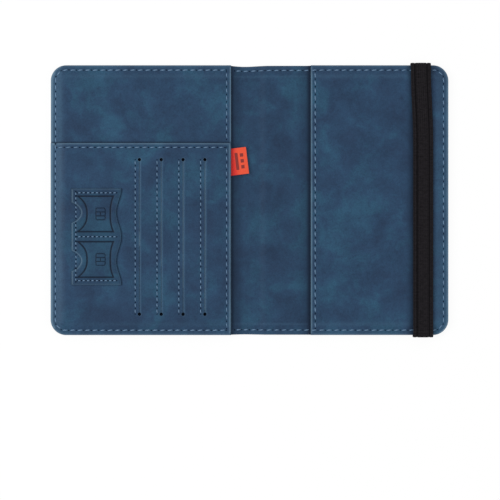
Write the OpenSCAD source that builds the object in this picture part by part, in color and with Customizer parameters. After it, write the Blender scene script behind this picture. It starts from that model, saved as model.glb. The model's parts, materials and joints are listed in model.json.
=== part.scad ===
// Passport holder: two soft covers on a folding spine, with passport pockets,
// a card panel, a SIM patch, a woven tag and an elastic closing band.
// It lies open with its inner side up. The origin is under the middle of the spine,
// +X points to the back cover's fore-edge, +Y to the top edge and +Z up.

/* [Covers] */
// Height of the holder, along the spine
cover_h = 148; // [120:1:180]
// Width of one cover, from its fold to its fore-edge
cover_w = 102.5; // [85:0.5:125]
// Radius of the corners at the fore-edge
corner_r = 8.5; // [5:0.5:14]
// Thickness of the outer leather
outer_t = 1.0; // [0.8:0.1:1.4]
// Thickness of the lining
lining_t = 0.6; // [0.4:0.1:1]
// Thickness of the stiffening board in each cover
board_t = 0.6; // [0.4:0.1:1]
// Thickness of the shielding foil under each board
foil_t = 0.15; // [0.1:0.05:0.3]
// Width of the turned hem round each board
hem_w = 6; // [5:0.5:9]
// Free room between the pockets when the holder is closed
passport_room = 3.5; // [3:0.25:8]

/* [Seams] */
// Distance of the edge seam from the edge
seam_margin = 2.7; // [2:0.1:4]
// Distance of the mouth seams from the mouths of the pockets
mouth_margin = 2.4; // [1.8:0.1:4]
// Spacing of the stitches along the edges and mouths
stitch_pitch = 4.1; // [3:0.1:6]
// Spacing of the stitches beside the card slits
slit_pitch = 3.2; // [2.6:0.1:5]
// Spacing of the stitches on the SIM patch
patch_pitch = 2.4; // [2:0.1:4]
// Gap between two stitches
stitch_gap = 1.1; // [0.6:0.1:1.6]
// Width of a stitch
thread_w = 0.7; // [0.4:0.1:1]
// Height of a stitch above the leather
thread_t = 0.25; // [0.15:0.05:0.4]

/* [Passport pockets] */
// Thickness of the pocket leather
panel_t = 0.8; // [0.6:0.1:1.2]
// Distance of the front flap's mouth from the front fold
flap_setback = 3.6; // [3:0.1:12]
// Distance of the back pocket's mouth from the back fold
pocket_setback = 27; // [8:0.5:45]
// Slack under each passport pocket when it is empty
pocket_gap = 0.5; // [0.45:0.05:1.5]

/* [Card panel] */
// Distance of the card panel's side edge from the flap's mouth
panel_step = 0.3; // [0:0.1:2]
// Length of a card slit between the centres of its end holes
slit_span = 84.6; // [70:0.2:102]
// Diameter of the end holes of a slit
slit_hole_d = 1.8; // [1.4:0.1:2.4]
// Width of a slit
slit_w = 0.4; // [0.3:0.1:0.8]
// Height of the lower slit holes above the bottom edge
slit_base = 11.5; // [9.5:0.5:16]
// Distance of the upper slit holes from the panel's top edge
slit_head = 9.1; // [7:0.1:14]
// Distance of the slit next to the SIM patch from that patch
slit_patch_gap = 9.9; // [6:0.1:14]
// Distance of the slit next to the mouth from the panel's side edge
slit_mouth_gap = 14; // [7:0.5:16]
// Distance of a slit's seam from the slit
slit_margin = 2.3; // [1.6:0.1:3]
// Thickness of a card pocket's cloth
cloth_t = 0.12; // [0.08:0.02:0.2]
// Slack in the ticket pocket behind the card panel
ticket_slack = 0.3; // [0.2:0.05:1]

/* [SIM patch] */
// Width of the patch
patch_w = 27.2; // [24:0.2:33]
// Height of the patch
patch_h = 52.8; // [48:0.2:64]
// Thickness of the patch
patch_t = 0.8; // [0.6:0.1:1.2]
// Distance of the patch from the fore-edge
patch_inset = 11.7; // [8:0.1:14]
// Height of the patch above the bottom edge
patch_base = 27.5; // [12:0.5:32]
// Depth of the two hollows in the patch's mouth
patch_wave = 2.8; // [1:0.1:3.4]
// Radius of the thumb notches
notch_r = 5.2; // [3:0.1:6]
// Size of each marked SIM place, along X
mark_w = 19.6; // [16:0.1:20]
// Size of each marked SIM place, along Y
mark_h = 19.4; // [16:0.1:20]
// Distance between the centres of the marked places
mark_spacing = 25.2; // [24:0.1:27]
// Distance of the marks from the patch's notched edge
mark_inset = 3; // [2.5:0.1:4]
// Depth of a mark's hollow on the notched side
mark_hollow = 5; // [3:0.1:6]
// Depth of a mark's hollow on the mouth side
mark_dent = 1.9; // [1:0.1:3]
// Width of the line pressed round a mark
mark_line = 0.7; // [0.4:0.1:1]
// Depth of the line pressed round a mark
mark_depth = 0.35; // [0.2:0.05:0.5]

/* [Woven tag] */
// Height of the tag, along the mouth it is sewn into
tag_h = 14.7; // [8:0.1:20]
// Length of tag that shows beside the flap
tag_out = 8.8; // [5:0.1:9]
// Length of tag sewn under the flap
tag_sewn = 3.8; // [3:0.1:6]
// Thickness of the folded tag
tag_t = 0.4; // [0.3:0.02:0.48]
// Distance of the tag's centre below the card panel's top edge
tag_drop = 10.7; // [8:0.1:30]
// Angle at which the tag is sewn in
tag_tilt = 7; // [0:1:8]

/* [Elastic band] */
// Width of the band
band_w = 11; // [6:0.5:14]
// Thickness of the band
band_t = 0.75; // [0.6:0.05:1]
// Distance of the band's middle from the fore-edge
band_inset = 14; // [12:0.5:24]
// Gap between the band and the edges that it passes
band_gap = 0.5; // [0.3:0.05:1]

/* [Hidden] */
$fn = 64;

// Clearance between pieces that fit inside each other
fit = 0.2;
// Running clearance of the folds
fold_clear = 0.08;
// Distance by which a cutting shape reaches past what it cuts
over = 2;

// Heights of the layers
hem_t = foil_t + board_t;
lining_z = outer_t + hem_t;
inner_z = lining_z + lining_t;
pocket_z = inner_z + pocket_gap;
pocket_top = pocket_z + panel_t;
slit_count = 4;
ticket_gap = slit_count * cloth_t + ticket_slack;
card_z = pocket_top + ticket_gap;
card_top = card_z + panel_t;
patch_top = card_top + patch_t;
spine_top = outer_t + lining_t;

// The spine is two strips on three folds of equal angle
fold_angle = 60;
fold_z = outer_t / 2;
closed_t = card_top + pocket_top + passport_room;
spine_half = (closed_t - outer_t) / (2 * sin(fold_angle));

// Outline of the seams, measured from a cover's fold
rim_w = 2 * seam_margin;
groove_w = thread_w + 2 * fit;
groove_d = thread_t + 0.05;
seam_start = stitch_pitch / 2;
seam_r = corner_r - seam_margin;
seam_x = cover_w - seam_margin;
seam_y = cover_h / 2 - seam_margin;
seam_run = seam_x - seam_r - seam_start;
seam_arc = seam_r * PI / 2;
seam_len = 2 * (seam_run + seam_arc + seam_y - seam_r);

// Places on the card panel, measured from the front fold and the middle of the height
bottom_y = -cover_h / 2;
panel_x = flap_setback + panel_step;
panel_h = slit_base + slit_span + slit_head;
panel_y = bottom_y + panel_h;
slit_low = bottom_y + slit_base;
slit_high = slit_low + slit_span;
patch_out = cover_w - patch_inset;
patch_in = patch_out - patch_w;
patch_low = bottom_y + patch_base;
patch_mid = patch_low + patch_h / 2;
slit_first = patch_in - slit_patch_gap;
slit_step = (slit_first - panel_x - slit_mouth_gap) / (slit_count - 1);
cloth_depth = cover_w - rim_w - fit - slit_first;
wave_steps = 32;
tag_y = panel_y - tag_drop;

// The band lies over the back pocket and its stitches
band_x = cover_w - band_inset;
band_y = cover_h / 2 + band_gap;
band_z = pocket_top + thread_t + band_gap;

// Colours
leather = [0.20, 0.29, 0.39];
lining_colour = [0.18, 0.27, 0.37];
thread_colour = [0.55, 0.65, 0.75];
band_colour = [0.11, 0.11, 0.12];
tag_colour = [0.86, 0.35, 0.26];
board_colour = [0.62, 0.55, 0.45];
foil_colour = [0.78, 0.79, 0.80];
cloth_colour = [0.13, 0.15, 0.19];

// Distance of a card slit from the front fold, counted from the SIM patch
function slit_x(count) = slit_first - count * slit_step;

// Distance of the patch's wavy mouth from the front fold
function patch_mouth(y) = patch_in + patch_wave / 2 * (1 - cos(720 * (y - patch_low) / patch_h));

// Heights of the two hollows and notches of the patch
function patch_place(side) = patch_mid + side * patch_h / 4;

function in_notch(p) =
    min([for (side = [-1, 1]) norm([p.x - patch_out, p.y - patch_place(side)])]) < notch_r;

function on_patch(p) =
    p.y > patch_low && p.y < patch_low + patch_h && p.x < patch_out && p.x > patch_mouth(p.y)
    && !in_notch(p);

// Height of the uppermost surface at a point of the front or back cover
function front_height(p) =
    on_patch(p) ? patch_top
    : p.x < flap_setback ? inner_z
    : p.y < panel_y && p.x > panel_x ? card_top : pocket_top;
function back_height(p) = p.x < pocket_setback ? inner_z : pocket_top;
function laid_height(p, front) = front ? front_height(p) : back_height(p);

// Point and heading of the edge seam at a distance along it from the bottom of the fold
function seam_at(s) =
    s > seam_len / 2 ? let (p = seam_at(seam_len - s)) [p[0], -p[1], -p[2]]
    : s < seam_run ? [seam_start + s, -seam_y, 0]
    : s < seam_run + seam_arc ? let (a = (s - seam_run) / seam_arc * 90)
        [seam_x - seam_r + seam_r * sin(a), -seam_y + seam_r - seam_r * cos(a), a]
    : [seam_x, -seam_y + seam_r + s - seam_run - seam_arc, 90];

// Radius of the arc that is hollowed to a depth over a marked place's height
function hollow_r(depth) = mark_h * mark_h / (8 * depth) + depth / 2;

// Places a cover's pieces, drawn from the fold outwards, on the back or the front
module on_back() { translate([spine_half, 0, 0]) children(); }
module on_front() { mirror([1, 0, 0]) on_back() children(); }

// Outline of a cover, inset from its edges and starting at a distance from the fold
module cover_outline(inset, start) {
    r = max(corner_r - inset, fit);
    w = cover_w - inset;
    h = cover_h / 2 - inset;
    translate([start, -h]) square([w - r - start, 2 * h]);
    translate([start, r - h]) square([w - start, 2 * (h - r)]);
    for (side = [-1, 1]) translate([w - r, side * (h - r)]) circle(r);
}

// Room that the spine needs beside a fold, as a section across the fold
module fold_wedge() {
    reach = fold_clear + inner_z * tan(fold_angle / 2);
    polygon([[-over, fold_z], [fold_clear, fold_z], [reach, fold_z + inner_z], [-over, fold_z + inner_z]]);
}

module fold_socket() { translate([0, fold_z]) circle(fold_z + fold_clear); }

module fold_bead() { translate([0, fold_z]) circle(fold_z); }

// Draws a section across the folds along the whole spine
module along_spine() { rotate([90, 0, 0]) linear_extrude(cover_h, center = true) children(); }

module fold_cut() {
    rotate([90, 0, 0]) linear_extrude(cover_h + 2 * over, center = true) {
        fold_wedge();
        fold_socket();
    }
}

// Groove that keeps the outer stitches clear of the table
module seam_groove() {
    translate([0, 0, groove_d - over]) linear_extrude(over) difference() {
        cover_outline(seam_margin - groove_w / 2, -over);
        cover_outline(seam_margin + groove_w / 2, -2 * over);
    }
}

// Outer leather of a cover, with the hem that its edges are turned into
module outer_cover() {
    difference() {
        union() {
            linear_extrude(outer_t) cover_outline(0, 0);
            translate([0, 0, outer_t]) linear_extrude(hem_t) difference() {
                cover_outline(0, 0);
                cover_outline(hem_w, hem_w);
            }
        }
        fold_cut();
        seam_groove();
    }
}

module cover_filler(z, thickness) {
    translate([0, 0, z]) linear_extrude(thickness) cover_outline(hem_w + fit, hem_w + fit);
}

module cover_lining() {
    difference() {
        translate([0, 0, lining_z]) linear_extrude(lining_t) cover_outline(0, 0);
        fold_cut();
    }
}

// Pocket leather raised on the seam that holds its three closed sides
module passport_pocket(mouth) {
    translate([0, 0, pocket_z]) linear_extrude(panel_t) cover_outline(0, mouth);
    translate([0, 0, inner_z]) linear_extrude(pocket_gap) difference() {
        cover_outline(0, mouth);
        cover_outline(rim_w, mouth - over);
    }
}

module stitch(length) {
    linear_extrude(thread_t) {
        square([length - thread_w, thread_w], center = true);
        for (side = [-1, 1]) translate([side * (length - thread_w) / 2, 0]) circle(d = thread_w, $fn = 16);
    }
}

// A stitch on the inner side, left out where it would bridge a step between two layers
module inner_stitch(p, heading, length, front) {
    reach = length / 2 * [cos(heading), sin(heading)];
    z = laid_height(p - reach, front);
    if (z == laid_height(p + reach, front)) translate([p.x, p.y, z]) rotate(heading) stitch(length);
}

module inner_row(from, to, pitch, front) {
    run = norm(to - from);
    count = floor(run / pitch);
    for (i = [0 : count - 1])
        inner_stitch(from + (to - from) * (i + 0.5) / count, atan2(to.y - from.y, to.x - from.x),
                     run / count - stitch_gap, front);
}

module inner_seam(front) {
    count = floor(seam_len / stitch_pitch);
    for (i = [0 : count - 1]) let (s = seam_at((i + 0.5) * seam_len / count))
        inner_stitch([s[0], s[1]], s[2], seam_len / count - stitch_gap, front);
}

module outer_seam() {
    count = floor(seam_len / stitch_pitch);
    for (i = [0 : count - 1]) let (s = seam_at((i + 0.5) * seam_len / count))
        translate([s[0], s[1], groove_d - thread_t]) rotate(s[2]) stitch(seam_len / count - stitch_gap);
}

// Back cover
module back_outer_cover() {
    notch_w = band_w + 2 * fit;
    color(leather) on_back() difference() {
        outer_cover();
        for (side = [-1, 1]) translate([band_x - notch_w / 2, side * cover_h / 2 - hem_w, outer_t])
            cube([notch_w, 2 * hem_w, hem_t]);
    }
}

module back_shield_foil() { color(foil_colour) on_back() cover_filler(outer_t, foil_t); }

module back_board() { color(board_colour) on_back() cover_filler(outer_t + foil_t, board_t); }

module back_lining() { color(lining_colour) on_back() cover_lining(); }

module back_pocket() { color(leather) on_back() passport_pocket(pocket_setback); }

module back_seam_thread() { color(thread_colour) on_back() inner_seam(false); }

module back_outer_thread() { color(thread_colour) on_back() outer_seam(); }

module back_pocket_thread() {
    x = pocket_setback + mouth_margin;
    y = seam_y - thread_w - fit;
    color(thread_colour) on_back() inner_row([x, -y], [x, y], stitch_pitch, false);
}

// End of the band, sewn flat into the hem
module band_end(side) {
    length = hem_w - fit + band_gap;
    color(band_colour) on_back() translate([band_x - band_w / 2, 0, outer_t])
        translate([0, side > 0 ? band_y - length : -band_y, 0]) cube([band_w, length, hem_t]);
}

module band_upper_end() { band_end(1); }

module band_lower_end() { band_end(-1); }

// Spine
module spine_section(low, high) {
    difference() {
        translate([0, low]) square([spine_half, high - low]);
        fold_wedge();
        translate([spine_half, 0]) mirror([1, 0]) fold_wedge();
    }
}

module spine_groove() {
    for (side = [-1, 1]) translate([-over, side * seam_y - groove_w / 2, groove_d - over])
        cube([spine_half + 2 * over, groove_w, over]);
}

module spine_stitches() {
    for (side = [-1, 1], z = [groove_d - thread_t, spine_top])
        translate([spine_half / 2, side * seam_y, z]) stitch(stitch_pitch - stitch_gap);
}

module spine_back_strip() {
    color(leather) difference() {
        along_spine() {
            spine_section(0, outer_t);
            fold_bead();
            translate([spine_half, 0]) fold_bead();
        }
        spine_groove();
    }
}

module spine_back_lining() { color(lining_colour) along_spine() spine_section(outer_t, spine_top); }

module spine_back_thread() { color(thread_colour) spine_stitches(); }

module spine_front_strip() {
    color(leather) mirror([1, 0, 0]) difference() {
        along_spine() {
            difference() {
                spine_section(0, outer_t);
                fold_socket();
            }
            translate([spine_half, 0]) fold_bead();
        }
        spine_groove();
    }
}

module spine_front_lining() {
    color(lining_colour) mirror([1, 0, 0]) along_spine() spine_section(outer_t, spine_top);
}

module spine_front_thread() { color(thread_colour) mirror([1, 0, 0]) spine_stitches(); }

// Front cover
module front_outer_cover() { color(leather) on_front() outer_cover(); }

module front_shield_foil() { color(foil_colour) on_front() cover_filler(outer_t, foil_t); }

module front_board() { color(board_colour) on_front() cover_filler(outer_t + foil_t, board_t); }

module front_lining() { color(lining_colour) on_front() cover_lining(); }

module passport_flap() { color(leather) on_front() passport_pocket(flap_setback); }

module panel_outline() {
    intersection() {
        cover_outline(0, panel_x);
        translate([0, bottom_y]) square([cover_w, panel_h]);
    }
}

// Card panel, open along its top edge, with slits that end in round holes
module card_panel() {
    color(leather) on_front() {
        translate([0, 0, card_z]) linear_extrude(panel_t) difference() {
            panel_outline();
            for (i = [0 : slit_count - 1]) translate([slit_x(i), slit_low]) {
                translate([-slit_w / 2, 0]) square([slit_w, slit_span]);
                for (y = [0, slit_span]) translate([0, y]) circle(d = slit_hole_d);
            }
        }
        translate([0, 0, pocket_top]) linear_extrude(ticket_gap) difference() {
            panel_outline();
            cover_outline(rim_w, panel_x + rim_w);
        }
    }
}

// Cloth of one card pocket, laid behind its slit and under the pockets nearer the fore-edge
module card_pocket(index) {
    margin = slit_hole_d;
    color(cloth_colour) on_front()
        translate([slit_x(index) - margin, slit_low - margin, card_z - (index + 1) * cloth_t])
        cube([cloth_depth + margin, slit_span + 2 * margin, cloth_t]);
}

module card_pocket_1() { card_pocket(0); }

module card_pocket_2() { card_pocket(1); }

module card_pocket_3() { card_pocket(2); }

module card_pocket_4() { card_pocket(3); }

// Marked place for a SIM, made smaller all round by an inset
module mark_outline(inset) {
    difference() {
        translate([inset - mark_w, inset - mark_h / 2]) square([mark_w - 2 * inset, mark_h - 2 * inset]);
        translate([hollow_r(mark_hollow) - mark_hollow, 0]) circle(hollow_r(mark_hollow) + inset);
        translate([mark_dent - hollow_r(mark_dent) - mark_w, 0]) circle(hollow_r(mark_dent) + inset);
    }
}

module sim_patch() {
    wave = [for (i = [0 : wave_steps]) let (y = patch_low + patch_h * i / wave_steps) [patch_mouth(y), y]];
    color(leather) on_front() difference() {
        translate([0, 0, card_top]) linear_extrude(patch_t) difference() {
            polygon(concat(wave, [[patch_out, patch_low + patch_h], [patch_out, patch_low]]));
            for (side = [-1, 1]) translate([patch_out, patch_place(side)]) circle(notch_r);
        }
        for (side = [-1, 1])
            translate([patch_out - mark_inset, patch_mid + side * mark_spacing / 2, patch_top - mark_depth])
            linear_extrude(over) difference() {
                mark_outline(0);
                mark_outline(mark_line);
            }
    }
}

module front_seam_thread() { color(thread_colour) on_front() inner_seam(true); }

module front_outer_thread() { color(thread_colour) on_front() outer_seam(); }

module flap_mouth_thread() {
    x = flap_setback + mouth_margin;
    y = seam_y - thread_w - fit;
    color(thread_colour) on_front() inner_row([x, -y], [x, y], stitch_pitch, true);
}

module card_panel_thread() {
    y = panel_y - mouth_margin;
    low = panel_x + mouth_margin + thread_w;
    high = seam_x - thread_w - fit;
    color(thread_colour) on_front() inner_row([low, y], [high, y], stitch_pitch, true);
}

module slit_thread() {
    color(thread_colour) on_front() for (i = [0 : slit_count - 1]) let (x = slit_x(i) + slit_margin)
        inner_row([x, slit_low], [x, slit_high], slit_pitch, true);
}

module sim_patch_thread() {
    x = patch_out - mouth_margin;
    low = patch_low + mouth_margin;
    high = patch_low + patch_h - mouth_margin;
    color(thread_colour) on_front() {
        for (y = [low, patch_mid, high])
            inner_row([patch_in + mouth_margin, y], [x - thread_w, y], patch_pitch, true);
        inner_row([x, low - thread_w], [x, high + thread_w], patch_pitch, true);
    }
}

// Woven tag, folded at its free end, with its two cut ends sewn under the flap
module woven_tag() {
    fold_r = tag_t / 2;
    ply_gap = tag_t / 10;
    color(tag_colour) on_front()
        translate([flap_setback, tag_y, pocket_z - fold_r]) rotate(-tag_tilt)
        rotate([90, 0, 0]) linear_extrude(tag_h, center = true) difference() {
            union() {
                translate([fold_r - tag_out, -fold_r]) square([tag_out + tag_sewn - fold_r, tag_t]);
                translate([fold_r - tag_out, 0]) circle(fold_r);
            }
            translate([fold_r - tag_out, -ply_gap / 2]) square([tag_out + tag_sewn, ply_gap]);
        }
}

// Free part of the elastic band
module band_front_run() {
    color(band_colour) on_back() translate([band_x - band_w / 2, -band_y, band_z]) cube([band_w, 2 * band_y, band_t]);
}

module band_leg(side) {
    color(band_colour) on_back() translate([band_x - band_w / 2, side > 0 ? band_y : -band_y - band_t, outer_t])
        cube([band_w, band_t, band_z + band_t - outer_t]);
}

module band_upper_leg() { band_leg(1); }

module band_lower_leg() { band_leg(-1); }

back_outer_cover();
back_shield_foil();
back_board();
back_lining();
back_pocket();
back_seam_thread();
back_outer_thread();
back_pocket_thread();
band_upper_end();
band_lower_end();
spine_back_strip();
spine_back_lining();
spine_back_thread();
spine_front_strip();
spine_front_lining();
spine_front_thread();
front_outer_cover();
front_shield_foil();
front_board();
front_lining();
passport_flap();
card_panel();
card_pocket_1();
card_pocket_2();
card_pocket_3();
card_pocket_4();
sim_patch();
front_seam_thread();
front_outer_thread();
flap_mouth_thread();
card_panel_thread();
slit_thread();
sim_patch_thread();
woven_tag();
band_front_run();
band_upper_leg();
band_lower_leg();
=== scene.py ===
"""Looks of a folding passport holder: leather, stitching, woven tag and elastic band, lying open."""

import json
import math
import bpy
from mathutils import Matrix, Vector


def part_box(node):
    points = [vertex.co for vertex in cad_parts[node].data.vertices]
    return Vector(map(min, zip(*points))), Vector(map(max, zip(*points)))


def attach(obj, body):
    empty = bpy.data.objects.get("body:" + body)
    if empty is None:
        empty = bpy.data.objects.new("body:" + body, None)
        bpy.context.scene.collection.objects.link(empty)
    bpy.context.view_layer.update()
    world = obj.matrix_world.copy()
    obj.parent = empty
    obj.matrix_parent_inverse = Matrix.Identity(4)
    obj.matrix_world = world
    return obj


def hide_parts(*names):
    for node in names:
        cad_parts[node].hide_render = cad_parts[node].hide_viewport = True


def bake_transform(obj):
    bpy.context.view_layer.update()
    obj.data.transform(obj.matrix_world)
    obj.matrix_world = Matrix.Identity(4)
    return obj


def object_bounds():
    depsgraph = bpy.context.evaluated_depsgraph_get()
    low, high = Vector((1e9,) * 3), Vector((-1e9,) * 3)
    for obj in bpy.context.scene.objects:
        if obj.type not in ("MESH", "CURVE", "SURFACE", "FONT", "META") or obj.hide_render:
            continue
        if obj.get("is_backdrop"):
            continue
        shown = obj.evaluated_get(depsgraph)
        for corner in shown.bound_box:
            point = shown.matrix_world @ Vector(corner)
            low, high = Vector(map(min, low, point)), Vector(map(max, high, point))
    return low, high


bl_info = {
    "name": "Passport holder",
    "version": (1, 0, 0),
    "blender": (4, 5, 0),
    "location": "View3D > Sidebar > Holder",
    "description": "Builds the leather, stitching, tag and elastic of a folding passport holder",
    "category": "Object",
}

import bmesh
import bpy
import numpy as np
from bpy.props import FloatProperty, FloatVectorProperty, PointerProperty
from bpy.types import Operator, Panel, PropertyGroup
from mathutils import Matrix, Vector
from mathutils.kdtree import KDTree

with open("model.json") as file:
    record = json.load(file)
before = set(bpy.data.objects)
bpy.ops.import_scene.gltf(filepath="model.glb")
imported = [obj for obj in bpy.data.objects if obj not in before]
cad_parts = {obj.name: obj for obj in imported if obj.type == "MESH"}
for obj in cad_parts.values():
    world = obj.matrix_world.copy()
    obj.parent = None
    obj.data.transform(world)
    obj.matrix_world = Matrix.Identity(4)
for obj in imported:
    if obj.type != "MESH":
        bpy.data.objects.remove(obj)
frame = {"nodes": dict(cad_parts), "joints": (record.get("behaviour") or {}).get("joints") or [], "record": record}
CAD_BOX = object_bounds()

MM = 0.001
TINY = 1e-7
ROUND_OFF = 1e-6
CLEARANCE = 0.02 * MM

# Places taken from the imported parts; s is the distance from the middle of the spine, y runs up it
SIDES = {"front": -1, "back": 1}
FOLD = next(joint["pos_m"][0] for joint in frame["joints"] if joint["name"] == "back_fold")
STRIP = FOLD / 2
BEND_END = FOLD + STRIP
COVER_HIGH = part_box("back_outer_cover")[1]
REACH = COVER_HIGH.x
HALF_H = COVER_HIGH.y
LINING_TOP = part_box("back_lining")[1].z
LINING_T = LINING_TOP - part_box("back_lining")[0].z
SPINE_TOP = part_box("spine_back_lining")[1].z
OUTER_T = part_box("spine_back_lining")[0].z
FLAP_MOUTH = -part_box("passport_flap")[1].x
FLAP_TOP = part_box("passport_flap")[1].z
PANEL_MOUTH = -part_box("card_panel")[1].x
PANEL_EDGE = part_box("card_panel")[1].y
PANEL_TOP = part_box("card_panel")[1].z
POCKET_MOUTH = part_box("back_pocket")[0].x
POCKET_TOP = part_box("back_pocket")[1].z
PATCH_LOW, PATCH_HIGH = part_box("sim_patch")
PATCH_MIDDLE = (PATCH_LOW.y + PATCH_HIGH.y) / 2
PATCH_HEIGHT = PATCH_HIGH.y - PATCH_LOW.y
TAG_MIDDLE = sum(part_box("woven_tag"), Vector((0, 0, 0))) / 2
RUN_LOW, RUN_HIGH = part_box("band_front_run")
RUN_MIDDLE = (RUN_LOW + RUN_HIGH) / 2
LEG_LOW, LEG_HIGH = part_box("band_upper_leg")
SLITS = [mount["pos_m"] for mount in frame["record"]["mounts"] if mount["name"].startswith("card_slot")]
THREAD_NODES = [name for name in frame["nodes"] if name.endswith("_thread")]


def number(name, default, description, **kind):
    """A value, not below 0, that a user may change."""
    return FloatProperty(name=name, description=description, default=default, min=0.0, **kind)


def length(name, default, description):
    """A size, given in millimetres, that a user may change."""
    return number(name, default * MM, description, subtype="DISTANCE", unit="LENGTH", precision=5)


def angle(name, default, description):
    """An angle, given in degrees, that a user may change."""
    return number(name, math.radians(default), description, subtype="ANGLE", unit="ROTATION")


def power(name, default, description):
    """A lamp's power in watts that a user may change."""
    return number(name, default, description, subtype="POWER", unit="POWER")


def share(name, default, description):
    """A plain share that a user may change."""
    return number(name, default, description, subtype="FACTOR")


def tint(name, default, description):
    """A linear colour that a user may change."""
    return FloatVectorProperty(name=name, description=description, default=default, size=3,
                               min=0.0, max=1.0, subtype="COLOR")


class CoverSizes(PropertyGroup):
    """Sizes of the covers, the spine and their edges."""

    corner_radius: length("Corner radius", 8.5, "Radius of the corners at the fore-edges")
    hem: length("Hem", 6, "Width of the turned hem round each board")
    edge_round: length("Edge rounding", 0.32, "Radius of the rounded leather edges")
    edge_roll: length("Edge roll", 0.34, "Height by which the outer leather rolls up at its edges")
    spine_dip: length("Spine dip", 0.5, "Depth by which the soft spine's top edge sags")
    edge_draw: length("Edge draw", 0.1, "Distance by which the edges are drawn in between the pockets")
    hem_ridge: length("Hem ridge", 0.13, "Height by which the hem shows through the lining")
    cell: length("Cell", 0.55, "Spacing of the mesh where a leather face shows")


class PocketSizes(PropertyGroup):
    """Sizes of the pockets, the card panel and its slits."""

    thickness: length("Leather thickness", 0.8, "Thickness of the pocket leather")
    pressed: length("Pressed margin", 2.2, "Width of the edge that the seam presses flat")
    swell: length("Swell", 7, "Distance over which the leather rises from the seam")
    slit_span: length("Slit span", 84.6, "Distance between the holes that end a card slit")
    slit_width: length("Slit width", 0.12, "Width of a card slit")
    slit_hole: length("Slit hole", 1.8, "Diameter of the holes that end a slit")
    lip: length("Slit lip", 0.2, "Height of the lip beside a slit")
    unevenness: length("Unevenness", 0.09, "Height of the slow waves in the soft leather")


class PatchSizes(PropertyGroup):
    """Sizes of the patch with its two marked places."""

    wave: length("Mouth wave", 2.8, "Depth of the two hollows in the patch's mouth")
    notch: length("Thumb notch", 5.2, "Depth and half height of the thumb notches")
    thickness: length("Thickness", 0.7, "Thickness of the patch")
    mark_width: length("Mark width", 21.2, "Width of a marked place")
    mark_height: length("Mark height", 20.2, "Height of a marked place")
    mark_spacing: length("Mark spacing", 24.9, "Distance between the two marked places")
    mark_inset: length("Mark inset", 2.35, "Distance of the marks from the notched edge")
    mark_hollow: length("Mark hollow", 5.8, "Depth of a mark's hollow on the notched side")
    mark_dent: length("Mark dent", 1.9, "Depth of a mark's hollow on the mouth side")
    mark_line: length("Mark line", 0.78, "Width of a pressed line")
    mark_depth: length("Mark depth", 0.34, "Depth of a pressed line")


class StitchSizes(PropertyGroup):
    """Sizes of the stitches and of the marks that they leave."""

    width: length("Thread width", 0.58, "Width of a stitch")
    height: length("Thread height", 0.48, "Height of a stitch")
    gap: length("Stitch gap", 1.1, "Distance between the ends of two stitches")
    furrow_width: length("Furrow width", 0.95, "Half width of the furrow that a seam presses")
    furrow_depth: length("Furrow depth", 0.16, "Depth of the furrow that a seam presses")
    hole_radius: length("Hole radius", 0.52, "Radius of a needle hole")
    hole_rise: length("Hole rise", 0.1, "Height to which a needle hole's torn rim stands in its furrow")
    slant: angle("Slant", 7, "Angle of a stitch to its seam")


class TrimSizes(PropertyGroup):
    """Sizes of the woven tag, the elastic band and the pocket cloth."""

    tag_height: length("Tag height", 14.7, "Height of the tag along the mouth")
    tag_out: length("Tag length", 9.1, "Length of tag that shows beside the flap")
    tag_sewn: length("Tag sewn", 3.4, "Length of tag sewn under the flap")
    tag_ply: length("Tag ply", 0.15, "Thickness of one ply of the tag")
    tag_droop: length("Tag droop", 0.25, "Height by which the tag bows up along its length")
    tag_tilt: angle("Tag tilt", 7, "Angle at which the tag is sewn in")
    band_sewn: length("Band sewn", 4, "Length of band sewn into the hem at each end")
    band_sag: length("Band sag", 0.32, "Depth by which the band settles towards the pocket")
    band_bend: length("Band bend", 1.3, "Radius of the band's bends over the edges")
    band_root: length("Band root", 0.6, "Radius of the band's bends where it leaves the hem")
    band_lean: length("Band lean", 1.3, "Distance by which the band's upper end leans to the left")
    band_groove: length("Band groove", 0.2, "Depth of the two grooves woven along the band")
    cloth: length("Cloth thickness", 0.1, "Thickness of the card pockets' cloth")


class LeatherFinish(PropertyGroup):
    """Colours and grain of the mottled leather."""

    shade: tint("Shade", (0.0295, 0.0625, 0.1260), "Colour of the dark clouds")
    body: tint("Body", (0.0338, 0.0812, 0.1585), "Main colour of the leather")
    glow: tint("Glow", (0.0390, 0.1165, 0.2020), "Colour of the light clouds")
    # Pale is the colour of the places painted lighter: partly paler stretched leather, partly painted highlight.
    pale: tint("Pale", (0.0600, 0.1350, 0.2310), "Colour of leather stretched over what lies below")
    # Edge is the colour of cut edges, and also of the edges painted light as wear and painted highlight.
    edge: tint("Edge", (0.140, 0.235, 0.325), "Colour of cut and rubbed edges")
    burnt: tint("Burnt", (0.0040, 0.0080, 0.0190), "Colour of the lines pressed into the leather")
    # Needle hole is the colour of painted shade: in the needle holes and beside the pockets, panel, patch and
    # band.
    hole: tint("Needle hole", (0.0070, 0.0165, 0.0370), "Colour in the needle holes")
    cloud: length("Cloud size", 19, "Size of the clouds in the leather")
    grain: length("Grain size", 0.62, "Size of the leather's grain")
    roughness: share("Roughness", 0.5, "Roughness of the leather")
    polish: share("Polish", 1.0, "Gloss of the outer leather where the hand holds the spine")
    polish_roughness: share("Polish roughness", 0.62, "Roughness of that gloss")


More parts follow.
